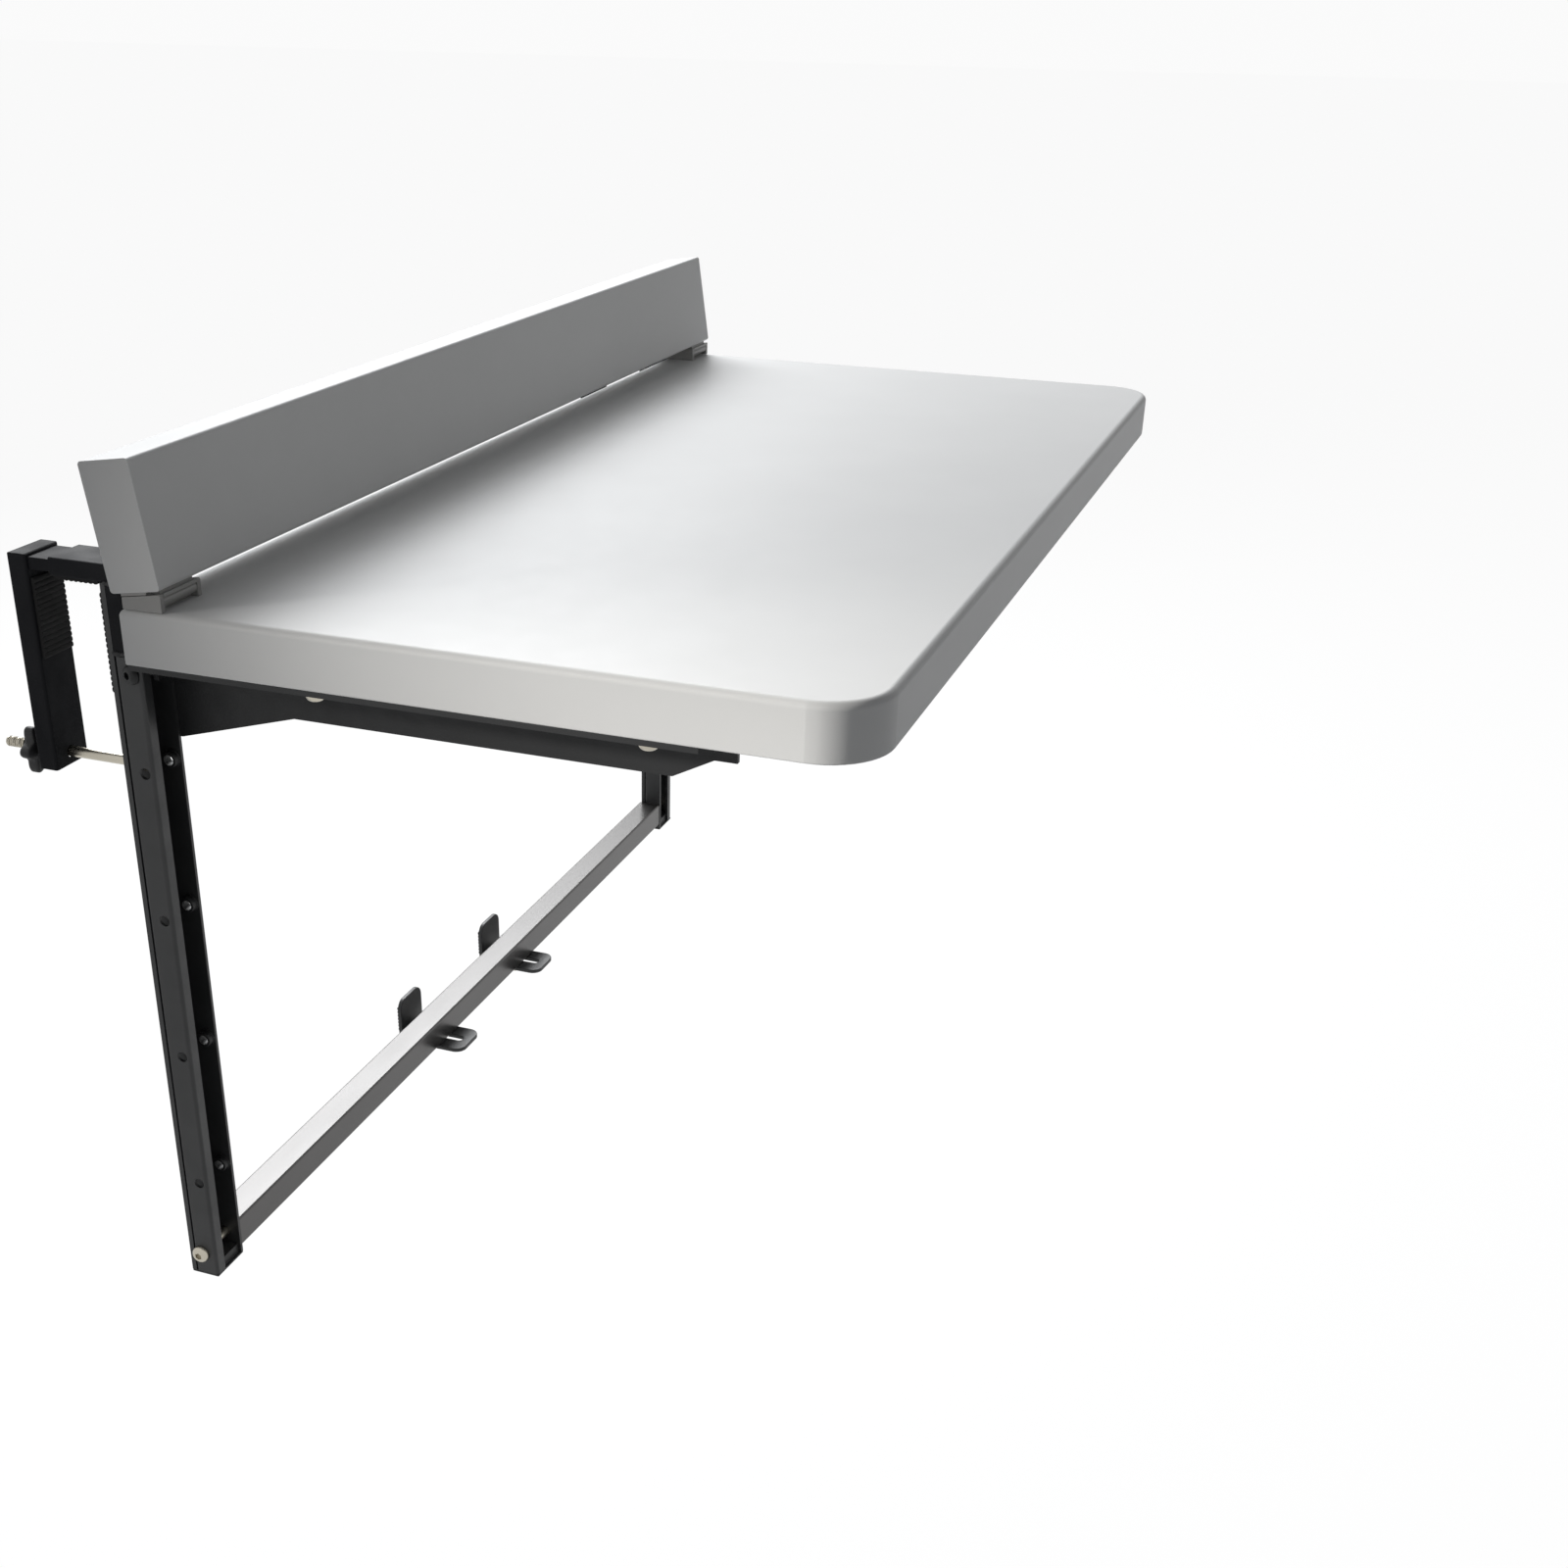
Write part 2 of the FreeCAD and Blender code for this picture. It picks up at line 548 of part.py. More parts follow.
# Tie rod, fixed in the upright, and the star knob behind the jaw.
collar = rod("tie_collar", "bolt_radius + 1.4", "4",
             ("-side_mid", "-back_thick - channel_wall - 4", "-tie_drop"), TO_Y)
stud = rod("tie_stud", "bolt_radius", "jaw_rear + tie_past + back_thick + channel_wall + 4",
           ("-side_mid", "-back_thick - channel_wall - 4", "-tie_drop"), TO_Y)
both(fuse("tie_rod", collar, stud), "tie_rod")
tie_hex = hexagon("tie_hex", "nut_flat", "nut_high", ("-side_mid", "-rear_pad", "-tie_drop"), TO_Y)
tie_bore = rod("tie_bore", "bolt_radius", "nut_high + 2", ("-side_mid", "-rear_pad - 1", "-tie_drop"), TO_Y)
both(cut("tie_nut", tie_hex, tie_bore), "tie_nut")

knob = body("knob")
half = "(knob_radius * 0.72)"
shape = [("bolt_radius + run_gap", "0"), ("bolt_radius + 3", "0"), ("bolt_radius + 3", "knob_long * 0.3"),
         (half, "knob_long * 0.4"), (half, "knob_long * 0.9"), (half + " - knob_long * 0.1", "knob_long"),
         ("bolt_radius + run_gap", "knob_long")]
turned = outline("knob_section", shape, ("0", "0", "0"), ALONG_Y, knob)
spin = knob.newObject("PartDesign::Revolution", "knob_turned")
spin.Profile = turned
spin.ReferenceAxis = (turned, ["V_Axis"])
spin.Angle = 360
lobe = rings("knob_lobe", [("knob_radius * 0.7", "0", "knob_radius * 0.3")],
             ("0", "0", "knob_long * 0.42"), ALONG_Z, knob)
lobe_pad = pad(knob, lobe, "knob_long * 0.46")
lobes = knob.newObject("PartDesign::PolarPattern", "knob_lobes")
lobes.Originals = [lobe_pad]
lobes.Axis = (lobe, ["N_Axis"])
lobes.Angle = 360
lobes.Occurrences = 6
knob.Tip = lobes
place(knob, ("-side_mid", "jaw_rear + 0.2", "-tie_drop"), TO_Y)
both(knob, "knob")

# Arms: angles under the slab, their webs beside the channels and turning on the pivot bolts.
arm = body("arm")
web_out = "(-side_in + arm_side_gap)"
web_z = "(slab_under - arm_depth)"
tip = arm_tip
flange = outline("arm_flange", [
    ("-top_length / 2 + arm_edge", "slab_rear - 1"), ("-top_length / 2 + arm_edge", tip + " + 6"),
    ("-top_length / 2 + arm_edge + 6", tip), (web_out + " + arm_wall", tip),
    (web_out + " + arm_wall", "slab_rear - 1")], ("0", "0", "slab_under - arm_wall"), ALONG_Z, arm)
pad(arm, flange, "arm_wall")
web = outline("arm_web", [
    ("pivot_y", "pivot_z + arm_lobe"), ("slab_rear - 1", "slab_under"), (tip, "slab_under"),
    (tip, "slab_under - arm_nose_depth"), (tip + " + arm_nose_flat", "slab_under - arm_nose_depth"),
    (tip + " + arm_nose_run", web_z),
    ("slab_rear - arm_root_run", web_z), ("channel_front - 1", "slab_under - arm_root"),
    ("channel_front + 1", "slab_under - arm_root"), ("pivot_y", "pivot_z - arm_lobe")],
    (web_out, "0", "0"), ALONG_X, arm)
pad(arm, web, "arm_wall")
lobe = rings("arm_lobe", [("pivot_y", "pivot_z", "arm_lobe")], (web_out, "0", "0"), ALONG_X, arm)
pad(arm, lobe, "arm_wall")
drill = rings("arm_bore", [("pivot_y", "pivot_z", "bolt_radius + run_gap")],
              (web_out + " - 1", "0", "0"), ALONG_X, arm)
pocket(arm, drill, "arm_wall + 2", True)
tab = outline("arm_tab", [
    ("-side_out + channel_lip + 0.5", "slab_rear - 1"), ("-side_in - channel_wall - 0.5", "slab_rear - 1"),
    ("-side_in - channel_wall - 0.5", "slab_rear - 1 - arm_wall"),
    ("-side_out + channel_lip + 0.5", "slab_rear - 1 - arm_wall")], ("0", "0", "slab_under - tab_drop"), ALONG_Z, arm)
pad(arm, tab, "tab_drop - 0.5")
drill = rings("arm_holes", [("-" + screw_x, screw_y[run], "screw_radius") for run in screw_y],
              ("0", "0", "slab_under - arm_wall - 1"), ALONG_Z, arm)
pocket(arm, drill, "arm_wall + 2", True)
both(arm, "arm")

for run in ("rear", "mid", "front"):
    at = ("-" + screw_x, screw_y[run], "slab_under - arm_wall - screw_head_high")
    head = rod("screw_head_" + run, "screw_head", "screw_head_high", at)
    shank = rod("screw_shank_" + run, "screw_radius", "screw_head_high + arm_wall + screw_long - 2", at)
    low = number("slab_under - arm_wall - screw_head_high")
    domed = round_part("screw_dome_" + run, head, "screw_head_high * 0.6",
                       lambda e: e.Length > 1 and near(e.BoundBox.ZMax, low))
    both(fuse("arm_screw_" + run, domed, shank), "arm_screw_" + run)

# Pivot bolts with their nuts, and the bolts of the crossbar.
bolt_at = ("-side_out - bolt_head_high", "pivot_y", "pivot_z")
head = rod("pivot_head", "bolt_head", "bolt_head_high", bolt_at, TO_X)
out = -number("side_out") - number("bolt_head_high")
head = round_part("pivot_dome", head, "bolt_head_high * 0.5",
                  lambda e: e.Length > 1 and near(e.BoundBox.XMax, out))
nut_x = web_out + " + arm_wall + run_gap"
shank = rod("pivot_shank", "bolt_radius",
            "bolt_head_high + channel_width + arm_side_gap + arm_wall + nut_high + 3", bolt_at, TO_X)
both(fuse("pivot_bolt", head, shank), "pivot_bolt")
washer = rod("pivot_washer", "bolt_head + 1", "1", (nut_x, "pivot_y", "pivot_z"), TO_X)
nut_hex = hexagon("pivot_hex", "nut_flat", "nut_high", (nut_x + " + 1", "pivot_y", "pivot_z"), TO_X)
nut_bore = rod("pivot_nut_bore", "bolt_radius", "nut_high + 3", (nut_x + " - 1", "pivot_y", "pivot_z"), TO_X)
both(cut("pivot_nut", fuse("pivot_nut_solid", washer, nut_hex), nut_bore), "pivot_nut")

bolt_at = ("-side_out - bolt_head_high", "bar_y", "bar_z")
head = rod("bar_head", "bolt_head", "bolt_head_high", bolt_at, TO_X)
head = round_part("bar_dome", head, "bolt_head_high * 0.5",
                  lambda e: e.Length > 1 and near(e.BoundBox.XMax, out))
shank = rod("bar_shank", "bolt_radius", "bolt_head_high + channel_width + plug_long - 3", bolt_at, TO_X)
both(fuse("bar_bolt", head, shank), "bar_bolt")

# Crossbar: a square tube between the channels, plugged at both ends.
bar_front = "bar_y - bar_size / 2"
bar_low = "bar_z - bar_size / 2"
bar_solid = box("bar_solid", ("2 * side_in", "bar_size", "bar_size"), ("-side_in", bar_front, bar_low))
bar_round = round_part("bar_round", bar_solid, "bar_wall", lambda e: straight(e, 0))
bar_core = box("bar_core", ("2 * side_in + 2", "bar_size - 2 * bar_wall", "bar_size - 2 * bar_wall"),
               ("-side_in - 1", bar_front + " + bar_wall", bar_low + " + bar_wall"))
clip_hole_one = rod("clip_hole_one", "bolt_radius", "bar_wall + 2", ("-clip_first", "bar_y", bar_low + " - 1"))
clip_hole_two = rod("clip_hole_two", "bolt_radius", "bar_wall + 2", ("clip_second", "bar_y", bar_low + " - 1"))
node(cut("crossbar", bar_round, bar_core, clip_hole_one, clip_hole_two), "crossbar")
plug_box = box("plug_box", ("plug_long", "bar_size - 2 * bar_wall", "bar_size - 2 * bar_wall"),
               ("-side_in", bar_front + " + bar_wall", bar_low + " + bar_wall"))
plug_bore = rod("plug_bore", "bolt_radius", "plug_long + 2", ("-side_in - 1", "bar_y", "bar_z"), TO_X)
both(cut("bar_plug", plug_box, plug_bore), "bar_plug")

# End caps under the uprights.
cap_plate = box("cap_plate", ("channel_width", "channel_depth + strap_thick", "cap_thick"),
                ("-side_out", "channel_front", "channel_end - cap_thick"))
cap_round = round_part("cap_round", cap_plate, "cap_thick * 0.6",
                       lambda e: near(e.BoundBox.ZMax, number("channel_end - cap_thick")))
cap_core = box("cap_core", ("channel_width - 2 * channel_wall", "channel_depth - 2 * channel_wall", "cap_plug"),
               ("-side_out + channel_wall", "channel_front + channel_wall", "channel_end"))
both(fuse("end_cap", cap_round, cap_core), "end_cap")


# Baluster clips: slotted angles under the crossbar.
def clip(tag, middle):
    under = "(" + bar_low + " - run_gap)"
    back = "(bar_y + bar_size / 2 + clip_out)"
    nose = "(" + bar_front + " - clip_nose)"
    solid = body("clip_" + tag)
    side = outline("clip_side_" + tag, [
        (nose, under + " - clip_thick"), (back + " + clip_thick", under + " - clip_thick"),
        (back + " + clip_thick", "bar_z + bar_size / 2 + clip_rise"),
        (back, "bar_z + bar_size / 2 + clip_rise"), (back, under), (nose, under)],
        (middle + " - clip_width / 2", "0", "0"), ALONG_X, solid)
    pad(solid, side, "clip_width")
    tall = number("bar_z + bar_size / 2 + clip_rise")
    tip_y = number(nose)
    round_body(solid, "clip_round", lambda e: (straight(e, 1) and near(e.CenterOfMass.z, tall))
               or (straight(e, 2) and near(e.CenterOfMass.y, tip_y)))
    slot_box = outline("clip_slot_" + tag, [
        (middle + " - bolt_radius - 0.3", "bar_y + clip_back"),
        (middle + " - bolt_radius - 0.3", "bar_y - clip_travel"),
        (middle + " + bolt_radius + 0.3", "bar_y - clip_travel"),
        (middle + " + bolt_radius + 0.3", "bar_y + clip_back")],
        ("0", "0", under + " - clip_thick - 1"), ALONG_Z, solid)
    pocket(solid, slot_box, "clip_thick + 2", True)
    ends = rings("clip_ends_" + tag, [(middle, "bar_y + clip_back", "bolt_radius + 0.3"),
                                      (middle, "bar_y - clip_travel", "bolt_radius + 0.3")],
                 ("0", "0", under + " - clip_thick - 1"), ALONG_Z, solid)
    pocket(solid, ends, "clip_thick + 2", True)
    node(solid, "clip_" + tag)
    node(box("clip_pad_" + tag, ("clip_width - 6", "pad_thick", "bar_size"),
             (middle + " - clip_width / 2 + 3", back + " + clip_thick", "bar_z - bar_size / 2 + 4")),
         "clip_pad_" + tag)
    shank = rod("clip_shank_" + tag, "bolt_radius", "bar_wall + clip_thick + nut_high + 3.5",
                (middle, "bar_y", under + " - clip_thick - nut_high - 3"))
    cap = rod("clip_head_" + tag, "bolt_head", "3", (middle, "bar_y", bar_low + " + bar_wall"))
    node(fuse("clip_bolt_" + tag, shank, cap), "clip_bolt_" + tag)
    ring = rod("clip_washer_" + tag, "bolt_head + 1", "1",
               (middle, "bar_y", under + " - clip_thick - run_gap - 1"))
    nut = hexagon("clip_hex_" + tag, "nut_flat", "nut_high",
                  (middle, "bar_y", under + " - clip_thick - run_gap - 1 - nut_high"))
    bore = rod("clip_bore_" + tag, "bolt_radius", "nut_high + 4",
               (middle, "bar_y", under + " - clip_thick - nut_high - 3"))
    node(cut("clip_nut_" + tag, fuse("clip_nut_solid_" + tag, ring, nut), bore), "clip_nut_" + tag)


clip("left", "-clip_first")
clip("right", "clip_second")

doc.recompute()
for obj in doc.Objects:
    if "Invalid" in obj.State or "Error" in obj.State:
        raise RuntimeError("%s: %s" % (obj.Name, obj.State))
total = 0
for obj in NODES:
    shape = obj.Shape
    if shape.isNull() or not shape.isValid() or shape.Volume <= 0:
        raise RuntimeError("bad shape: " + obj.Label)
    if len(shape.Solids) != 1:
        raise RuntimeError("%s has %d solids" % (obj.Label, len(shape.Solids)))
    shape.exportStep("parts/" + obj.Label + ".step")
    total += 1
    b = shape.BoundBox
    print("%-24s %8.1f mm3  x %.1f..%.1f  y %.1f..%.1f  z %.1f..%.1f" % (
        obj.Label, shape.Volume, b.XMin, b.XMax, b.YMin, b.YMax, b.ZMin, b.ZMax))
print("nodes", total)
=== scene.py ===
# %% [markdown]
# # A balcony railing bar table
# The table hangs on a handrail by two clamping hooks. Steel angles carry a light grey slab, and a
# hinged guard board leans back along its rear edge. The measured solids come in first, and every
# piece made here rides on the body that carries it.

# %% Load the measured solids
import json
import math
import bpy
import bmesh
from mathutils import Matrix, Vector


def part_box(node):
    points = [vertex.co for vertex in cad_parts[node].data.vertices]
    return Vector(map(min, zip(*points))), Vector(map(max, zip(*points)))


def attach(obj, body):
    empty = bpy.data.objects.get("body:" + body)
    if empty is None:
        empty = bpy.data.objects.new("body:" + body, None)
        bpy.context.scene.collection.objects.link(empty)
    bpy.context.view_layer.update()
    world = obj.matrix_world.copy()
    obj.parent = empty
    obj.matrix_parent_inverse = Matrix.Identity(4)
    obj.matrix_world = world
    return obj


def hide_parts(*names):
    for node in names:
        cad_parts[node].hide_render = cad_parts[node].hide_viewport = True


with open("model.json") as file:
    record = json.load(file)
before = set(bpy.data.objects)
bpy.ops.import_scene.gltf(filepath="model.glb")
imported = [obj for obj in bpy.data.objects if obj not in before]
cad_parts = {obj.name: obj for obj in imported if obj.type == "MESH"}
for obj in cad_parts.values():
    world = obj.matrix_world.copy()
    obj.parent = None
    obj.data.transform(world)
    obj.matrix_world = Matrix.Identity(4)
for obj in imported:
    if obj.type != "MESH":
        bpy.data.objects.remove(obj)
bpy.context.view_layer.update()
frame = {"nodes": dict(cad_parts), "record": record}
MM = 0.001
scene = bpy.context.scene
slot_of = {part["node"]: part["material_slot"] for part in frame["record"]["subparts"]}

# %% [markdown]
# ## Camera
# The photographer stood beyond the left end, a little above the slab. The place, the turn and the
# lens come from lining up the slab's edges. The shift only moves the part of the view that shows.

# %% Camera
camera = bpy.data.objects.new("camera", bpy.data.cameras.new("camera"))
scene.collection.objects.link(camera)
to_right = Vector((0.3533, -0.9353, 0.0111))
to_top = Vector((0.4378, 0.1747, 0.8820))
ahead = Vector((0.8267, 0.3077, -0.4718))
turn = Matrix((to_right, to_top, -ahead)).transposed()
camera.matrix_world = Matrix.Translation((-1.1855, -0.6234, 0.2856)) @ turn.to_4x4()
camera.data.sensor_width = 36.0
camera.data.lens = 43.92
camera.data.shift_x = 0.062
camera.data.shift_y = 0.1283
camera.data.clip_end = 80.0
scene.camera = camera
at = tuple(round(v, 3) for v in camera.location)
print("camera at", at, "with a", camera.data.lens, "mm lens")

# %% [markdown]
# ## Finishes
# Every surface of the table is flat or a plain tube, so its look comes from the finish: satin
# laminate, powder coat with its orange peel, metallic paint, zinc, rubber and moulded plastic. A
# painted or moulded surface could be one colour, but the eye reads that as paper. One helper gives
# each finish a colour that drifts over a few centimetres, a roughness that varies, and a fine bump,
# all on object coordinates so that the grain keeps its real size.


# %% A helper for the finishes
MOSTLY = (0.3, 0.7)        # where most of a noise's values lie
BUMP_DEPTH = 0.3 * MM


def finish(name, colour, rough, metal=0.0, cloud=9.0, drift=0.04, grain=900.0, lift=0.03,
           uneven=0.05, along=(1, 1, 1), shine=0.5):
    """A finish with a drifting colour, an uneven roughness and a fine bump."""
    made = bpy.data.materials.new(name)
    made.use_nodes = True
    tree = made.node_tree
    shader = tree.nodes["Principled BSDF"]
    shader.inputs["Metallic"].default_value = metal
    shader.inputs["Specular IOR Level"].default_value = shine
    place = tree.nodes.new("ShaderNodeTexCoord")
    stretch = tree.nodes.new("ShaderNodeMapping")
    stretch.inputs["Scale"].default_value = along
    tree.links.new(place.outputs["Object"], stretch.inputs["Vector"])

    def noise(scale, detail):
        made_noise = tree.nodes.new("ShaderNodeTexNoise")
        made_noise.inputs["Scale"].default_value = scale
        made_noise.inputs["Detail"].default_value = detail
        tree.links.new(stretch.outputs["Vector"], made_noise.inputs["Vector"])
        return made_noise

    ramp = tree.nodes.new("ShaderNodeValToRGB")
    for stop, where, tone in zip(ramp.color_ramp.elements, MOSTLY, (1 - drift, 1 + drift)):
        stop.position = where
        stop.color = (*(min(c * tone, 1.0) for c in colour), 1)
    tree.links.new(noise(cloud, 5.0).outputs["Fac"], ramp.inputs["Fac"])
    tree.links.new(ramp.outputs["Color"], shader.inputs["Base Color"])
    fine = noise(grain, 3.0)
    spread = tree.nodes.new("ShaderNodeMapRange")
    spread.inputs["From Min"].default_value, spread.inputs["From Max"].default_value = MOSTLY
    spread.inputs["To Min"].default_value = max(rough - uneven, 0.03)
    spread.inputs["To Max"].default_value = min(rough + uneven, 1.0)
    tree.links.new(noise(cloud * 7, 4.0).outputs["Fac"], spread.inputs["Value"])
    tree.links.new(spread.outputs["Result"], shader.inputs["Roughness"])
    bump = tree.nodes.new("ShaderNodeBump")
    bump.inputs["Strength"].default_value = lift
    bump.inputs["Distance"].default_value = BUMP_DEPTH
    tree.links.new(fine.outputs["Fac"], bump.inputs["Height"])
    tree.links.new(bump.outputs["Normal"], shader.inputs["Normal"])
    return made


# %% The table's own finishes
laminate = finish("satin_laminate", (0.68, 0.68, 0.675), 0.54, grain=1500, lift=0.05, drift=0.02,
                  uneven=0.012, shine=0.4)
powder = finish("black_powder_coat", (0.022, 0.0225, 0.0235), 0.50, grain=1400, lift=0.3,
                drift=0.18, uneven=0.07, shine=0.3)
# A lighter copy of the black steel for the uprights, strap and clips: its colour is painted light,
# standing in for the light that their flat faces and edges catch.
satin_black_painted_light = finish("satin_black_paint", (0.036, 0.037, 0.038), 0.45, grain=1500, lift=0.2, drift=0.14,
               uneven=0.05, shine=0.45)
# A darker copy of the black steel for the hook's post, tubes and jaw slide: its colour is painted
# shade, standing in for the shadow of the handrail that the hook grips. Its high roughness and low
# shine keep reflections off.
matt_black_painted_shade = finish("matt_black_paint", (0.014, 0.0145, 0.0165), 0.68, grain=1200, lift=0.3, drift=0.18,
              uneven=0.05, shine=0.12)
bar_paint = finish("metallic_grey_paint", (0.098, 0.095, 0.093), 0.30, metal=0.6, grain=60,
                   lift=0.006, along=(0.25, 1, 1), drift=0.06, uneven=0.02)
zinc = finish("bright_zinc", (0.47, 0.44, 0.37), 0.30, metal=1.0, grain=800, lift=0.08, drift=0.12)
hinge_grey = finish("grey_hinge_casting", (0.33, 0.325, 0.315), 0.46, grain=1300, lift=0.15)
rubber = finish("black_rubber", (0.020, 0.020, 0.020), 0.78, grain=700, lift=0.3, drift=0.15,
                shine=0.25)
moulded = finish("moulded_plastic", (0.026, 0.026, 0.027), 0.52, grain=1100, lift=0.3, drift=0.12,
                 shine=0.4)
FINISHES = {"white_board": laminate, "black_steel": powder, "bar_steel": bar_paint,
            "bright_steel": zinc, "hinge_metal": hinge_grey, "black_rubber": rubber,
            "black_plastic": moulded}
# Kinds of solid that wear another black than their slot's: a copy lightened with painted light or
# darkened with painted shade.
OWN = {"upright": satin_black_painted_light, "strap": satin_black_painted_light, "clip": satin_black_painted_light, "hook_post": matt_black_painted_shade, "hook_tube": matt_black_painted_shade,
       "jaw_tube": matt_black_painted_shade, "jaw_slide": matt_black_painted_shade}
for name, solid in frame["nodes"].items():
    solid.data.materials.clear()
    solid.data.materials.append(OWN.get(name.rsplit("_", 1)[0], FINISHES[slot_of[name]]))
used = {solid.data.materials[0].name for solid in frame["nodes"].values()}
print(len(used), "finishes on", len(frame["nodes"]), "solids")

# %% [markdown]
# ## Studio
# Daylight comes from beyond the handrail on the right, so the guard board shades the rear of the
# slab, and a faint narrow lamp from the left touches the front corner. The floor and the world look
# white to the camera and in reflections, while the floor still takes the table's shadow.

# %% Floor
WHITE = 0.96        # the world's level as the camera sees it
GLOW = 1.04         # the floor's own light where it is seen
GLOW_SHARE = 0.9    # the rest of the seen floor is lit by the lamps, so that it takes the shadow
FLOOR_REACH = 30.0
FLOOR_LEVEL = -1.02


def whitened(tree, base, white):
    """Mixes a shader with white for camera, glossy and transmission rays."""
    rays = tree.nodes.new("ShaderNodeLightPath")
    seen = tree.nodes.new("ShaderNodeMath")
    seen.operation = "MAXIMUM"
    tree.links.new(rays.outputs["Is Camera Ray"], seen.inputs[0])
    also = tree.nodes.new("ShaderNodeMath")
    also.operation = "MAXIMUM"
    tree.links.new(rays.outputs["Is Glossy Ray"], also.inputs[0])
    tree.links.new(rays.outputs["Is Transmission Ray"], also.inputs[1])
    tree.links.new(also.outputs[0], seen.inputs[1])
    blend = tree.nodes.new("ShaderNodeMixShader")
    tree.links.new(base, blend.inputs[1])
    tree.links.new(white, blend.inputs[2])
    return seen, blend


mesh = bpy.data.meshes.new("floor")
corners = [(x * FLOOR_REACH, y * FLOOR_REACH, FLOOR_LEVEL)
           for x, y in ((-1, -1), (1, -1), (1, 1), (-1, 1))]
mesh.from_pydata(corners, [], [(0, 1, 2, 3)])
floor = bpy.data.objects.new("floor", mesh)
scene.collection.objects.link(floor)
pale = bpy.data.materials.new("pale_floor")
pale.use_nodes = True
tree = pale.node_tree
ground = tree.nodes["Principled BSDF"]
ground.inputs["Base Color"].default_value = (0.9, 0.9, 0.9, 1)
ground.inputs["Roughness"].default_value = 0.95
ground.inputs["Specular IOR Level"].default_value = 0.0
glow = tree.nodes.new("ShaderNodeEmission")
glow.inputs["Color"].default_value = (1, 1, 1, 1)
glow.inputs["Strength"].default_value = GLOW
seen, blend = whitened(tree, ground.outputs["BSDF"], glow.outputs["Emission"])
share = tree.nodes.new("ShaderNodeMath")
share.operation = "MULTIPLY"
share.inputs[1].default_value = GLOW_SHARE
tree.links.new(seen.outputs[0], share.inputs[0])
tree.links.new(share.outputs[0], blend.inputs["Fac"])
tree.links.new(blend.outputs["Shader"], tree.nodes["Material Output"].inputs["Surface"])
mesh.materials.append(pale)

# %% World
world = bpy.data.worlds.new("studio")
scene.world = world
world.use_nodes = True
tree = world.node_tree
fill = tree.nodes["Background"]
fill.inputs["Color"].default_value = (0.95, 0.97, 1.0, 1)
fill.inputs["Strength"].default_value = 0.14
white = tree.nodes.new("ShaderNodeBackground")
white.inputs["Color"].default_value = (1, 1, 1, 1)
white.inputs["Strength"].default_value = WHITE
seen, blend = whitened(tree, fill.outputs["Background"], white.outputs["Background"])
tree.links.new(seen.outputs[0], blend.inputs["Fac"])
tree.links.new(blend.outputs["Shader"], tree.nodes["World Output"].inputs["Surface"])


# %% Lamps
def softbox(name, at, aim, size, power, tint=(1, 1, 1), spread=180.0):
    """A rectangular lamp that faces the aim point."""
    data = bpy.data.lights.new(name, "AREA")
    data.shape = "RECTANGLE"
    data.size, data.size_y = size
    data.energy = power
    data.color = tint
    data.spread = math.radians(spread)
    lamp = bpy.data.objects.new(name, data)
    scene.collection.objects.link(lamp)
    facing = (Vector(aim) - Vector(at)).normalized()
    aimed = facing.to_track_quat("-Z", "Y").to_matrix().to_4x4()
    lamp.matrix_world = Matrix.Translation(at) @ aimed
    print(name, power, "W")


softbox("window", (1.94, 1.48, 1.76), (0.1, -0.2, 0.0), (2.2, 1.6), 118, (0.97, 0.985, 1.0))
softbox("left_window", (-1.3, 0.9, 0.45), (-0.4, -0.47, -0.10), (0.12, 0.12), 0.5,
        (1.0, 0.98, 0.94), 20.0)

# %% [markdown]
# ## Soft corners on the carried-over solids
# Sheet steel has small rounded corners that catch the light, and the solids have sharp ones. Each
# solid gets a weld, because its triangles come in loose, then large flat faces, a narrow bevel on
# its sharp edges and normals that follow the large faces. Modelling each corner by hand would take
# far longer and could drift from the measured shape.

# %% Soft corners
# Width of the rounding in millimetres for each kind of solid.
SOFT = {"strap": 0.5, "clip": 0.45, "hook_post": 0.7, "hook_tube": 0.5, "jaw_tube": 0.6,
        "upright": 0.35, "arm": 0.45, "end_cap": 0.4, "hinge_base": 0.25, "hinge_leaf": 0.2,
        "jaw_slide": 0.4}


def soften(solid, wide):
    """Rounds the sharp edges of a solid with modifiers, so that its own mesh stays as it is."""
    weld = solid.modifiers.new("weld", "WELD")
    weld.merge_threshold = 0.005 * MM
    flat = solid.modifiers.new("flat_faces", "DECIMATE")
    flat.decimate_type = "DISSOLVE"
    flat.angle_limit = math.radians(0.5)
    bevel = solid.modifiers.new("corners", "BEVEL")
    bevel.width = wide * MM
    bevel.segments = 2
    bevel.limit_method = "ANGLE"
    bevel.angle_limit = math.radians(50)
    bevel.use_clamp_overlap = True
    bevel.harden_normals = True
    even = solid.modifiers.new("even_normals", "WEIGHTED_NORMAL")
    even.keep_sharp = True
    even.weight = 100


softened = 0
for name, solid in frame["nodes"].items():
    kind = name.rsplit("_", 1)[0]
    if kind in SOFT:
        soften(solid, SOFT[kind])
        softened += 1
print(softened, "solids have soft corners")

# %% [markdown]
# ## A helper for plain meshes and turned shapes
# Bolt heads, nuts and collars come off a lathe, so one helper turns a profile about an axis. It
# closes both ends with a flat face, which keeps every shape a solid for the cuts that follow.


# %% Turned shapes and cuts
SHARP = 30    # edges that turn by more than this many degrees stay sharp


